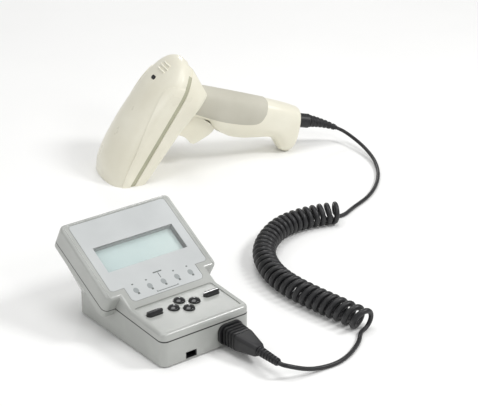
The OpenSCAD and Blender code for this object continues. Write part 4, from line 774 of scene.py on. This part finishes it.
def tub_ring(start, lean):
    """Closed ring: the tub's outer skin, then its inner skin back."""
    count = 4 + CORNER_STEPS + 1

    def half(inner):
        return [leaning(start, lean, lambda a, k=k: tub_side_point(a, k, inner)) for k in range(count)]
    outer = half(False)
    if start < REAR_PLANE_A - 2.5:
        inner = half(True)
    else:
        a, _, b = leaning(start, lean, lambda a: (0, groove_at(a) + GROOVE_W / 2 - SEAM_GAP))
        w = max(head_width(a) - GROOVE_DEPTH - SHELL_WALL, 3)
        inner = [(a, w * (1 - i / (count - 0.5)), b) for i in range(count)]

    def far(side):
        return [(a, -y, b) for a, y, b in side]
    return far(outer) + outer[::-1] + inner + far(inner)[::-1]


# Handle, in its own frame: X towards the butt, Y across, Z out of its back
BACK = [(-24, 0.9), (0, 0.9), (17, 1.3), (45, 2), (75, 2.2), (100, 1.5), (114, 0.2), (120, -1)]
FRONT = [
    (-24, -30), (18, -31), (27, -38), (32, -39.7), (39, -41.3), (49, -43), (60, -42.2), (75, -39), (92, -35.5),
    (97, -37.5), (103, -43), (108, -46.8), (112, -47.28), (116, -45.7), (120, -40)]
HANDLE_LEAN = [
    (-2.55, 0.3916), (8, 0.15), (18, 0), (98, 0), (103.5, -0.02), (107.3, -0.05), (110.2, -0.08), (112.2, BUTT_LEAN)]
HANDLE_HALF_W, SQUARENESS = 15.5, 2.7
GRIP_PROUD, GRIP_GAP = 0.6, 0.08
GRIP_LEAN = [(0.15, 0.432), (8, 0.15), (18, 0), (75.5, 0)]
GRIP_LOW = [
    (-12, -23), (0, -24.6), (18, -26.4), (32, -26.7), (49, -25.8), (60, -24.3), (68, -22), (72.5, -18.5), (75.5, -10)]


def squared(t):
    """Sine or cosine of a turn, pushed outwards to a rounded square."""
    return math.copysign(abs(t) ** (2 / SQUARENESS), t)


def handle_point(d, turn, inset):
    """Place across and height of a point of the handle's section, a rounded square between back and front."""
    top, low = eased(d, BACK) - inset, eased(d, FRONT) + inset
    across = (HANDLE_HALF_W - inset) * squared(math.cos(turn))
    return across, (top + low) / 2 + (top - low) / 2 * squared(math.sin(turn))


def handle_at(start, lean, turn, inset):
    """Point of the handle's skin in a leaning plane."""
    return leaning(start, lean, lambda d: handle_point(d, turn, inset), 12)


def grip_start(d):
    """Angle at which the grip's lower edge lies on the handle's section."""
    top, low = eased(d, BACK), eased(d, FRONT)
    share = (eased(d, GRIP_LOW) - (top + low) / 2) / ((top - low) / 2)
    return math.asin(math.copysign(abs(share) ** (SQUARENESS / 2), share))


# ---------------------------------------------------------------- settings
class VerifierSettings(bpy.types.PropertyGroup):
    """Sizes and colours that a user would change"""
    case_colour: bpy.props.StringProperty(
        name="Case colour", description="Paler shade of the console's moulded case", default="#B7B9B5")
    label_colour: bpy.props.StringProperty(
        name="Label colour", description="Paler shade of the console's face label", default="#C8CBCB")
    scanner_colour: bpy.props.StringProperty(
        name="Scanner colour", description="Paler shade of the scanner's shells", default="#EFECDC")
    cord_sides: bpy.props.IntProperty(
        name="Cord sides", description="Faces round the cord's tube", default=16, min=6, max=32)
    edge_round: bpy.props.FloatProperty(
        name="Edge rounding", description="Width of the rounding on moulded edges", default=0.45 * MM,
        min=0.0, max=1.0 * MM, subtype="DISTANCE", unit="LENGTH")


# ---------------------------------------------------------------- stage
# Camera found from the photograph: its place in millimetres, its axes, and its lens on a 36 mm sensor
EYE = (-794.4, -1084.9, 634.6)
VIEW_BACK = Vector((-0.5552, -0.7214, 0.4139))
VIEW_RIGHT = Vector((0.7925, -0.6099, 0.0))
SENSOR_MM, LENS_MM = 36.0, 120.5
# Floor in metres: it turns to face the camera, runs back and curves up into a wall
FLOOR_TURN, FLOOR_HALF_W, FLOOR_NEAR, BEND_FROM, BEND_R, WALL_TOP = -37.6, 3.2, -3.0, 2.2, 0.9, 3.0
BEND_STEPS, FLOOR_DROP, AIR_STRENGTH = 12, 0.00002, 0.38
# Lights: name, place and aim in metres, diameter in metres, power in watts
LIGHTS = (
    ("overhead_softbox", (-0.1, 0.1, 1.8), (0, 0, 0), 1.3, 11.5),
    ("edge_lamp", (0.75, -0.82, 1.15), (-0.14, -0.19, 0.03), 0.4, 9),
    ("front_softbox", (0.0, -1.5, 1.0), (0.05, 0.0, 0.06), 0.5, 4.0),
    ("left_fill", (-1.35, -0.15, 0.85), (0.0, 0.0, 0.06), 0.8, 3.0),
    ("rim_lamp", (0.86, 1.15, 0.78), (-0.14, -0.15, 0.03), 0.25, 2.6),
)


def add_area_light(name, at, aim, size, watts):
    """White round softbox."""
    data = bpy.data.lights.new(name, "AREA")
    data.shape, data.size, data.energy = "DISK", size, watts
    made = bpy.data.objects.new(name, data)
    made.location = at
    made.rotation_euler = (Vector(at) - Vector(aim)).to_track_quat("Z", "Y").to_euler()
    bpy.context.scene.collection.objects.link(made)


def add_floor():
    """Pale paper sweep: a floor that curves up into a backdrop far behind."""
    rows = [(FLOOR_NEAR, 0.0)]
    for i in range(BEND_STEPS + 1):
        turn = math.radians(90 * i / BEND_STEPS)
        rows.append((BEND_FROM + BEND_R * math.sin(turn), BEND_R * (1 - math.cos(turn))))
    rows.append((BEND_FROM + BEND_R, WALL_TOP))
    aim = Matrix.Rotation(math.radians(FLOOR_TURN), 4, "Z")
    points = [aim @ Vector((x, y, z)) for y, z in rows for x in (-FLOOR_HALF_W, FLOOR_HALF_W)]
    faces = [(2 * i, 2 * i + 1, 2 * i + 3, 2 * i + 2) for i in range(len(rows) - 1)]
    mesh = bpy.data.meshes.new("studio_floor")
    mesh.from_pydata([p - Vector((0, 0, FLOOR_DROP)) for p in points], [], faces)
    floor = bpy.data.objects.new("studio_floor", mesh)
    bpy.context.scene.collection.objects.link(floor)
    for face in mesh.polygons:
        face.use_smooth = True
    # White matt background paper
    paper, _, shader, _ = new_finish("white_paper_sweep", "#FBFBFA", "#F8F8F7", 3.0)
    shader.inputs["Roughness"].default_value = 0.9
    shader.inputs["Specular IOR Level"].default_value = 0.1
    mesh.materials.append(paper)


class VERIFIER_OT_stage(bpy.types.Operator):
    """Make the camera, the pale floor and the soft studio light"""
    bl_idname = "verifier.stage"
    bl_label = "Stage"

    def execute(self, context):
        scene = context.scene
        data = bpy.data.cameras.new("photo_camera")
        data.sensor_width, data.lens = SENSOR_MM, LENS_MM
        data.clip_start, data.clip_end = 0.05, 30.0
        camera = bpy.data.objects.new("photo_camera", data)
        back, right = VIEW_BACK.normalized(), VIEW_RIGHT.normalized()
        spin = Matrix((right, back.cross(right), back)).transposed().to_4x4()
        camera.matrix_world = Matrix.Translation(Vector(EYE) * MM) @ spin
        scene.collection.objects.link(camera)
        scene.camera = camera
        add_floor()
        world = bpy.data.worlds.new("studio_air")
        world.use_nodes = True
        sky = world.node_tree.nodes["Background"]
        sky.inputs["Color"].default_value = (1.0, 1.0, 1.0, 1.0)
        sky.inputs["Strength"].default_value = AIR_STRENGTH
        scene.world = world
        for row in LIGHTS:
            add_area_light(*row)
        scene.view_settings.view_transform = "Standard"
        return {"FINISHED"}


class VERIFIER_OT_cord(bpy.types.Operator):
    """Sweep the cord's tube from the plug through the curls to the handle"""
    bl_idname = "verifier.cord"
    bl_label = "Curly cord"

    def execute(self, context):
        path, radii = cord_path()
        points, faces = smooth_tube(path, radii, context.scene.verifier.cord_sides)
        made = add_mesh("curly_cord_tube", points, faces, finish="cord_black", smooth=60)
        settle(made, "stand", "lower_cord", "curly_cord", "upper_cord")
        return {"FINISHED"}


# How far from the parting line a face still counts as part of its lips
LIP_HALF = 0.5


def darken_seam(made, finish):
    """Gives the rounded lips of the parting line a dark finish that paints the shadow in the seam."""
    made.data.materials.append(FINISHES[finish])
    back = CONSOLE.inverted()
    (y1, z1), (y2, z2) = SEAM_BENDS
    for face in made.data.polygons:
        at = back @ (made.matrix_world @ face.center / MM)
        level = SEAM_FRONT_H + (z1 - SEAM_FRONT_H) * at.y / y1
        if at.y >= y1:
            level = z1 + (z2 - z1) * (at.y - y1) / (y2 - y1)
        if abs(at.z - level + SEAM_GAP / 2) < LIP_HALF:
            face.material_index = 1


# ---------------------------------------------------------------- repeated and swept details, grown by node trees
def new_tree(name, sizes):
    """Empty node tree that takes points and lines, and has an input for each size."""
    tree = bpy.data.node_groups.new(name, "GeometryNodeTree")
    tree.interface.new_socket("Path", in_out="INPUT", socket_type="NodeSocketGeometry")
    for label, value in sizes.items():
        kind = "NodeSocketInt" if isinstance(value, int) else "NodeSocketFloat"
        tree.interface.new_socket(label, in_out="INPUT", socket_type=kind).default_value = value
    tree.interface.new_socket("Mesh", in_out="OUTPUT", socket_type="NodeSocketGeometry")
    return tree, node(tree, "NodeGroupInput").outputs


def end_tree(tree, geometry, finish):
    """Shades the result smooth, makes it real and gives it its finish."""
    smooth = node(tree, "GeometryNodeSetShadeSmooth", {"Geometry": geometry})
    solid = node(tree, "GeometryNodeRealizeInstances", {"Geometry": smooth.outputs["Geometry"]})
    coated = node(tree, "GeometryNodeSetMaterial", {
        "Geometry": solid.outputs["Geometry"], "Material": FINISHES[finish]})
    node(tree, "NodeGroupOutput", {"Mesh": coated.outputs["Geometry"]})
    return tree


def bar_tree(finish):
    """Round bar along each line, with domed ends."""
    tree, given = new_tree("swept_bars", {"Radius": 1.0, "Step": 0.5, "Sides": 12})
    curve = node(tree, "GeometryNodeMeshToCurve", {"Mesh": given["Path"]})
    fine = node(tree, "GeometryNodeResampleCurve", {
        "Curve": curve.outputs["Curve"], "Length": given["Step"]}, mode="LENGTH")
    along = node(tree, "GeometryNodeSplineParameter").outputs["Length"]
    whole = node(tree, "GeometryNodeSplineLength").outputs["Length"]
    near = sum_of(tree, "MINIMUM", along, sum_of(tree, "SUBTRACT", whole, along))
    share = sum_of(tree, "DIVIDE", near, given["Radius"], clamped=True)
    dome = sum_of(tree, "SQRT", sum_of(tree, "MULTIPLY", share, sum_of(tree, "SUBTRACT", 2.0, share)))
    ring = node(tree, "GeometryNodeCurvePrimitiveCircle", {"Resolution": given["Sides"], "Radius": given["Radius"]})
    bar = node(tree, "GeometryNodeCurveToMesh", {
        "Curve": fine.outputs["Curve"], "Profile Curve": ring.outputs["Curve"],
        "Scale": sum_of(tree, "MAXIMUM", dome, 0.2), "Fill Caps": True})
    return end_tree(tree, bar.outputs["Mesh"], finish)


def plate_tree(finish):
    """The same oval or cornered plate at each point."""
    tree, given = new_tree("repeated_plates", {
        "Half Width": 1.0, "Half Length": 1.0, "Thickness": 0.1, "Corners": 24, "Turn": 0.0})
    disc = node(tree, "GeometryNodeMeshCylinder", {
        "Vertices": given["Corners"], "Radius": 1.0, "Depth": given["Thickness"]})
    turn = node(tree, "ShaderNodeCombineXYZ", {"Z": given["Turn"]})
    spun = node(tree, "GeometryNodeTransform", {"Geometry": disc.outputs["Mesh"], "Rotation": turn.outputs["Vector"]})
    size = node(tree, "ShaderNodeCombineXYZ", {"X": given["Half Width"], "Y": given["Half Length"], "Z": 1.0})
    spots = node(tree, "GeometryNodeMeshToPoints", {"Mesh": given["Path"]})
    copies = node(tree, "GeometryNodeInstanceOnPoints", {
        "Points": spots.outputs["Points"], "Instance": spun.outputs["Geometry"], "Scale": size.outputs["Vector"]})
    return end_tree(tree, copies.outputs["Instances"], finish)


def grown(name, tree, points, lines, sizes, place, smooth):
    """Runs a node tree on points and lines, in millimetres, and keeps the result as a plain mesh."""
    path = bpy.data.meshes.new(name + "_path")
    path.from_pydata(points, lines, [])
    seed = bpy.data.objects.new(name + "_path", path)
    bpy.context.scene.collection.objects.link(seed)
    grower = seed.modifiers.new("grower", "NODES")
    grower.node_group = tree
    for socket in tree.interface.items_tree:
        if socket.in_out == "INPUT" and socket.name in sizes:
            grower[socket.identifier] = sizes[socket.name]
    graph = bpy.context.evaluated_depsgraph_get()
    mesh = bpy.data.meshes.new_from_object(seed.evaluated_get(graph), depsgraph=graph)
    seed.modifiers.remove(grower)
    bpy.data.objects.remove(seed)
    if not mesh.polygons:
        raise RuntimeError(f"{name}: its node tree made nothing")
    mesh.transform(Matrix.Scale(MM, 4) @ place)
    mesh.name = name
    made = bpy.data.objects.new(name, mesh)
    bpy.context.scene.collection.objects.link(made)
    tidy_mesh(made, smooth)
    return made


def swept(name, lines, radius, place, finish, step):
    """Bars along lines of points, grown by the bar tree."""
    points, edges = [], []
    for line in lines:
        edges += [(len(points) + i, len(points) + i + 1) for i in range(len(line) - 1)]
        points += line
    return grown(name, bar_tree(finish), points, edges, {"Radius": radius, "Step": step}, place, 60)


# ---------------------------------------------------------------- console
def bar_outline(x0, y0, x1, y1):
    """Rectangle between two opposite corners."""
    return [(x0, y0), (x1, y0), (x1, y1), (x0, y1)]


# Bead round the display: how far in from the sides, foot and end, bend, depth of its axis, radius
BEAD_IN, BEAD_FOOT, BEAD_END_IN, BEAD_BEND, BEAD_W, BEAD_R = 3.0, 1.5, 2.3, 4.0, -0.45, 0.95
LED_PITCH, LED_U = 13.4, 1.2
LED_PLACES = [(i - 2) * LED_PITCH for i in range(5)]
# Prints for each lamp: piece, finish, place along and shift across, half width, half length, corners.
# A soft round lamp, its darker foot, and the small mark above it, which the middle lamp lacks
LAMP_PRINTS = (
    ("lamp_symbols", "lamp_ink", LED_U, 0, 2.4, 2.7, 28),
    ("lamp_feet", "ink", LED_U - 3.2, 0.8, 1.0, 0.9, 4),
    ("lamp_marks", "ink", 7.5, 0, 0.8, 0.6, 4),
)
PRINT_W, PRINT_THICK, BARS_LOW, BARS_HIGH = -0.01, 0.08, -0.05, 0.03
# Printed bars: a line and a cross bar above the middle lamp, and a bracket below the lamps
LABEL_BARS = (
    (-0.35, 5.2, 0.35, 10.6), (-4.2, 11.0, 4.2, 12.1), (-10.5, -6.3, 10.5, -5.7), (-10.5, -5.7, -9.9, -4.9),
    (9.9, -5.7, 10.5, -4.9))
WINDOW_W, WINDOW_H, WINDOW_U = 78, 26, 37.8
BEZEL_GAP, BEZEL_WALL, BEZEL_LOW, BEZEL_HIGH = 0.03, 0.5, -4.95, -1.35


class VERIFIER_OT_console(bpy.types.Operator):
    """Round the console's two case halves and paint shade on the parting line between them"""
    bl_idname = "verifier.console"
    bl_label = "Console case"

    def execute(self, context):
        width = context.scene.verifier.edge_round / MM
        for name in ("upper_housing", "lower_housing"):
            made = refined_copy(name, name + "_shell", width, 2, "case_halves")
            # Painted shade on the lips of the parting line, from the colour mix and from a dark finish on the lips'
            # faces
            darken_seam(made, "seam")
            settle(made, "stand", name)
        # Raised bead along the display's two sides and its top end
        side, low, high, r = DISP_W / 2 - BEAD_IN, BEAD_FOOT, DISP_LEN - BEAD_END_IN, BEAD_BEND
        path = [(-side, u) for u in spread(low, high - r, 14)]
        path += [(-side + r - r * math.cos(t), high - r + r * math.sin(t)) for t in spread(0.2, 1.4, 5)]
        path += [(x, high) for x in spread(-side + r, side - r, 14)]
        path += [(side - r + r * math.sin(t), high - r + r * math.cos(t)) for t in spread(0.2, 1.4, 5)]
        path += [(side, u) for u in spread(high - r, low, 14)]
        settle(swept("display_bead", [[(x, u, BEAD_W) for x, u in path]], BEAD_R, DISPLAY, "case_grey", 1.0))
        return {"FINISHED"}


class VERIFIER_OT_face(bpy.types.Operator):
    """Finish the face label, print its lamp symbols and line the window's recess"""
    bl_idname = "verifier.face"
    bl_label = "Face label and window"

    def execute(self, context):
        settle(refined_copy("face_label", "face_label_film", 0.1, 1, "label_grey"), "stand", "face_label")
        made = []
        for name, finish, u, shift, half, length, corners in LAMP_PRINTS:
            spots = [(x + shift, u, PRINT_W) for x in LED_PLACES if x or name != "lamp_marks"]
            # A plate of four corners is turned so that its sides, not its corners, lie at the half sizes
            reach, turn = (math.sqrt(2), math.pi / 4) if corners == 4 else (1.0, 0.0)
            made.append(grown(name, plate_tree(finish), spots, [], {
                "Half Width": half * reach, "Half Length": length * reach,
                "Thickness": PRINT_THICK, "Corners": corners, "Turn": turn}, DISPLAY, 30))
        bars = [bar_outline(*bar) for bar in LABEL_BARS]
        made.append(extruded("label_marks", bars, BARS_LOW, BARS_HIGH, DISPLAY, "ink"))
        for piece in made:
            settle(piece)
        # Four walls of the recess, just inside the case's window; their dark grey is partly painted shade
        w, h, t = WINDOW_W / 2 - BEZEL_GAP, WINDOW_H / 2 - BEZEL_GAP, BEZEL_WALL
        walls = [bar_outline(-w, WINDOW_U - h, -w + t, WINDOW_U + h), bar_outline(w - t, WINDOW_U - h, w, WINDOW_U + h),
                 bar_outline(-w + t, WINDOW_U - h, w - t, WINDOW_U - h + t),
                 bar_outline(-w + t, WINDOW_U + h - t, w - t, WINDOW_U + h)]
        bezel = extruded("window_bezel", walls, BEZEL_LOW, BEZEL_HIGH, DISPLAY, "bezel")
        settle(bezel)
        return {"FINISHED"}


# Small moulded parts: node, body, rounding in millimetres, finish
SMALL_PARTS = (
    *((f"key_{key}", f"key_{key}", 0.7, "key_black") for key in (
        "left_bar", "right_bar", "front", "back", "left", "right")),
    ("trigger", "trigger", 0.8, "scanner_cream"), ("battery_door", "battery_door", 0.25, "case_grey"),
    ("rubber_feet", "stand", 0.3, "foot_rubber"), ("service_jack", "stand", 0.2, "black_plastic"),
    ("plug_body", "stand", 0.45, "cord_black"), ("plug_relief", "stand", 0.22, "cord_black"),
    ("handle_relief", "stand", 0.15, "cord_black"))


class VERIFIER_OT_small_parts(bpy.types.Operator):
    """Round the edges of the keys, the trigger, the plug and the other small moulded parts"""
    bl_idname = "verifier.small_parts"
    bl_label = "Keys, trigger and plug"

    def execute(self, context):
        for name, body, width, finish in SMALL_PARTS:
            settle(refined_copy(name, name + "_finished", width, 2, finish), body, name)
        return {"FINISHED"}


# ---------------------------------------------------------------- scanner
def combined(made, tool, how):
    """Joins or cuts one closed mesh with another and removes the second."""
    cut = made.modifiers.new(how.lower(), "BOOLEAN")
    cut.operation, cut.solver, cut.object = how, "EXACT", tool
    before = len(made.data.polygons)
    apply_modifiers(made)
    bpy.data.objects.remove(tool)
    if len(made.data.polygons) < before / 2:
        raise RuntimeError(f"{made.name}: {how} lost most of the shape")
    return made


def finish_shell(made, smooth, weighted, finish, replaced):
    """Last steps for a scanner shell after its joins and cuts."""
    tidy_mesh(made, smooth)
    if weighted:
        even_shading(made)
    coat(made, finish)
    settle(made, "stand", replaced)


# Rear wall of the head: X runs from its lower corner towards the crown, Z into the head
REAR_WALL = HEAD @ moved(REAR_CORNER[0], 0, REAR_CORNER[1]) @ turned("Y", -math.degrees(math.atan(1 / REAR_LEAN)))
REAR_STEP, REAR_SINK = 27.6, 1.2
# Trigger pocket in the tub, the sounder's louvres and the status light
POCKET_W, POCKET_WALL, POCKET_LOW, POCKET_BACK = 18, 1.8, -47, 86
GRILLE_A, GRILLE_REACH, SLOT_HALF_W, SLOT_HALF_LEN = (99, 103, 107), (9.5, 10.5, 8.5), 0.8, 7.5
LOUVRE_R, LOUVRE_BOW, LOUVRE_PROUD = 1.05, 0.018, 0.15
STATUS_A, STATUS_R, STATUS_FLAT = 89, 1.8, 1.5
# The photograph's status light is a little larger than the solid's, along the head and across it
STATUS_LONG, STATUS_WIDE = 1.2, 1.4


class VERIFIER_OT_head_cover(bpy.types.Operator):
    """Loft the head's domed cover with its raised side bands, and the louvre ribs over the sounder"""
    bl_idname = "verifier.head_cover"
    bl_label = "Head cover"

    def execute(self, context):
        starts = spread(0, 43, 24) + spread(45, 84, 20) + spread(84.8, 100, 20) + spread(101, 113, 11)
        starts += [114.2, 115.3, 116.3, 117.2, 118, 118.7, 119.3, 119.8, 120.2, 120.4]
        rings = [cover_ring(a, eased(a, COVER_LEAN)) for a in starts]
        made = add_mesh("head_cover_shell", *loft(rings, True), place=HEAD, smooth=30)
        held_in_box(made)
        # Opening of the status light
        ring = [(STATUS_A + STATUS_LONG * STATUS_R * math.cos(t),
                 STATUS_WIDE * (math.copysign(STATUS_FLAT, math.sin(t)) + STATUS_R * math.sin(t)))
                for t in (math.tau * (k + 0.5) / 32 for k in range(32))]
        combined(made, extruded("status_opening", [ring], 30, 50, HEAD), "DIFFERENCE")
        for a in GRILLE_A:
            outline = bar_outline(a - SLOT_HALF_W, 27, a + SLOT_HALF_W, 50)
            slot = extruded("grille_slot", [outline], -SLOT_HALF_LEN, SLOT_HALF_LEN, HEAD, sideways=True)
            combined(made, slot, "DIFFERENCE")
        finish_shell(made, 30, True, "scanner_cream", "head_cover")
        lens = refined_copy("status_lens", "status_lens_finished", 0.35, 2, "black_plastic")
        centre = sum((p.co for p in lens.data.vertices), Vector()) / len(lens.data.vertices)
        spin = HEAD.to_3x3().to_4x4()
        grown_by = spin @ Matrix.Diagonal((STATUS_LONG, STATUS_WIDE, 1, 1)) @ spin.inverted()
        lens.data.transform(Matrix.Translation(centre) @ grown_by @ Matrix.Translation(-centre))
        settle(lens, "stand", "status_lens")
        # Louvre ribs across the dome, bowed a little towards the rear
        lines = []
        for a, reach in zip(GRILLE_A, GRILLE_REACH):
            w, crown, shoulder = head_width(a), eased(a, CROWN), SHOULDER_B * eased(a, SHOULDER)
            lines.append([(a + LOUVRE_BOW * abs(y), y,
                           shoulder + (crown - shoulder) * math.sqrt(max(1 - (y / w) ** 2, 0)) + LOUVRE_PROUD)
                          for y in spread(-reach, reach, 15)])
        settle(swept("sounder_louvres", lines, LOUVRE_R, HEAD, "scanner_cream", 0.25))
        return {"FINISHED"}


class VERIFIER_OT_scanner_housing(bpy.types.Operator):
    """Loft the lower head tub and the handle, join them, and cut the trigger's pocket"""
    bl_idname = "verifier.scanner_housing"
    bl_label = "Scanner housing"

    def execute(self, context):
        starts = spread(0, 43, 18) + spread(47, 75, 8) + spread(77, REAR_PLANE_A - 3, 16)
        starts += [REAR_PLANE_A - 1.6, REAR_PLANE_A]
        rings = [tub_ring(a, eased(a, TUB_LEAN)) for a in starts]
        made = add_mesh("scanner_housing_shell", *loft(rings, True), place=HEAD, smooth=30)
        # Handle: straight planes, then the rounded butt
        starts = spread(HANDLE_LEAN[0][0], 90, 46) + spread(92, 112, 16)
        planes = [(d, eased(d, HANDLE_LEAN), 0.0) for d in starts]
        for i in range(1, 9):
            bend = math.radians(90 * i / 8)
            planes.append((BUTT_AT - BUTT_ROUND * (1 - math.sin(bend)), BUTT_LEAN, BUTT_ROUND * (1 - math.cos(bend))))
        sides = 56
        rings = [[handle_at(d, lean, math.tau * k / sides, inset) for k in range(sides)] for d, lean, inset in planes]
        combined(made, add_mesh("handle_loft", *loft(rings), place=HANDLE), "UNION")
        # Trigger pocket: its walls are joined on and its room is cut out
        slab = [(76, -0.6), (83.2, -31), (79.6, -41), (79.6, POCKET_LOW - POCKET_WALL),
                (POCKET_BACK + POCKET_WALL, POCKET_LOW - POCKET_WALL), (POCKET_BACK + POCKET_WALL, -1)]
        half = POCKET_W / 2 + POCKET_WALL
        combined(made, extruded("pocket_walls", [slab], -half, half, HEAD, sideways=True), "UNION")
        half = POCKET_W / 2
        pocket = bar_outline(32.5, POCKET_LOW, POCKET_BACK, -1.2)
        combined(made, extruded("pocket_room", [pocket], -half, half, HEAD, sideways=True), "DIFFERENCE")
        rear = bar_outline(REAR_STEP, -5, REAR_STEP + GROOVE_W + 4, REAR_SINK)
        combined(made, extruded("rear_groove", [rear], -40, 40, REAR_WALL, sideways=True), "DIFFERENCE")
        held_in_box(made)
        finish_shell(made, 30, True, "scanner_cream", "scanner_housing")
        return {"FINISHED"}


class VERIFIER_OT_groove_strip(bpy.types.Operator):
    """Lay a darker olive-grey strip in the groove between the head's two shells"""
    bl_idname = "verifier.groove_seal"
    bl_label = "Groove strip"

    def execute(self, context):
        top, low = GROOVE_W / 2 - 0.12, -GROOVE_W / 2 + 0.12
        profile = [(-2.6, low), (-1.2, low), (-0.75, low + 0.5), (-0.75, top - 0.5), (-1.2, top), (-2.6, top)]
        starts = spread(0, 43, 16) + spread(46, 84, 14) + spread(86, 111, 20)
        for side in (-1, 1):
            rings = []
            for start in starts:
                lean = eased(start, COVER_LEAN)
                rings.append([(a, side * y, b) for a, y, b in (
                    leaning(start, lean, lambda a, o=o, z=z: (head_width(a) + o, groove_at(a) + z))
                    for o, z in profile)])
            made = add_mesh(f"groove_seal_{'near' if side < 0 else 'far'}", *loft(rings), place=HEAD, smooth=30)
            coat(made, "olive_strip")
            settle(made)
        return {"FINISHED"}


class VERIFIER_OT_grip(bpy.types.Operator):
    """Wrap the rubber skin over the handle's back and up the head's rear wall"""
    bl_idname = "verifier.grip"
    bl_label = "Rubber grip"

    def execute(self, context):
        starts = spread(GRIP_LEAN[0][0], 66, 34) + [67.5, 69, 70.3, 71.5, 72.5, 73.4, 74.2, 74.9, 75.5]
        rings = []
        for start in starts:
            lean = eased(start, GRIP_LEAN)
            turns = spread(grip_start(start - 26 * lean), math.pi / 2, 20)
            turns += [math.pi - t for t in reversed(turns[:-1])]
            # The skin thins out towards its two long edges and at its last ring
            rise = [0.25 * GRIP_PROUD, 0.8 * GRIP_PROUD, *[GRIP_PROUD] * (len(turns) - 4)]
            rise += rise[1::-1]
            if start == starts[-1]:
                rise = [r * 0.4 for r in rise]
            outer = [handle_at(start, lean, t, -r) for t, r in zip(turns, rise)]
            inner = [handle_at(start, lean, t, -GRIP_GAP) for t in turns]
            rings.append(outer + inner[::-1])
        made = add_mesh("rubber_grip_skin", *loft(rings, True), place=HANDLE, smooth=40)
        corner = [(-0.78, 1.02), (1.8, 1), (1.8, 1.45), (-0.3, 1.9), (-1.2, 1.75)]
        fillet = extruded("grip_fillet", [corner], -7, 7, HANDLE, sideways=True)
        half = [(1.3, 9), (3, 15), (6, 22), (12, 23.5), (19, 20.5), (REAR_STEP - 1, 15.5)]
        outline = [(half[0][0], -half[0][1]), *half, *((x, -y) for x, y in reversed(half[1:]))]
        plate = extruded("rear_wall_skin", [outline], -GRIP_PROUD, -GRIP_GAP, REAR_WALL)
        round_edges(plate, 0.25)
        combined(made, fillet, "UNION")
        combined(made, plate, "UNION")
        finish_shell(made, 40, False, "grip_rubber", "rubber_grip")
        return {"FINISHED"}


class VERIFIER_OT_dress(bpy.types.Operator):
    """Give every remaining CAD node its finish"""
    bl_idname = "verifier.dress"
    bl_label = "Finishes of the inner parts"

    def execute(self, context):
        slots = {row["node"]: row["material_slot"] for row in frame["record"]["subparts"]}
        for name, slot in slots.items():
            for made in cad_objects(name):
                if made.type != "MESH":
                    continue
                if not made.material_slots:
                    made.data.materials.append(FINISHES[slot])
                for holder in made.material_slots:
                    holder.material = FINISHES[slot]
        return {"FINISHED"}


OPERATORS = (
    VERIFIER_OT_stage, VERIFIER_OT_cord, VERIFIER_OT_console, VERIFIER_OT_face, VERIFIER_OT_small_parts,
    VERIFIER_OT_head_cover, VERIFIER_OT_scanner_housing, VERIFIER_OT_groove_strip, VERIFIER_OT_grip,
    VERIFIER_OT_dress)


class VERIFIER_PT_panel(bpy.types.Panel):
    """Lists the settings and the pieces"""
    bl_label = "Barcode verifier"
    bl_idname = "VERIFIER_PT_panel"
    bl_space_type = "VIEW_3D"
    bl_region_type = "UI"
    bl_category = "Verifier"

    def draw(self, context):
        settings = context.scene.verifier
        for name in settings.bl_rna.properties.keys():
            if name not in {"rna_type", "name"}:
                self.layout.prop(settings, name)
        for operator in OPERATORS:
            self.layout.operator(operator.bl_idname)


CLASSES = (VerifierSettings, *OPERATORS, VERIFIER_PT_panel)


def register():
    """Add the settings, the operators and the panel."""
    for item in CLASSES:
        bpy.utils.register_class(item)
    bpy.types.Scene.verifier = bpy.props.PointerProperty(type=VerifierSettings)


def unregister():
    """Take them away again."""
    del bpy.types.Scene.verifier
    for item in reversed(CLASSES):
        bpy.utils.unregister_class(item)


def main():
    """Make every piece in turn."""
    register()
    make_finishes(bpy.context.scene.verifier)
    for operator in OPERATORS:
        group, name = operator.bl_idname.split(".")
        getattr(getattr(bpy.ops, group), name)()


if __name__ == "__main__":
    main()
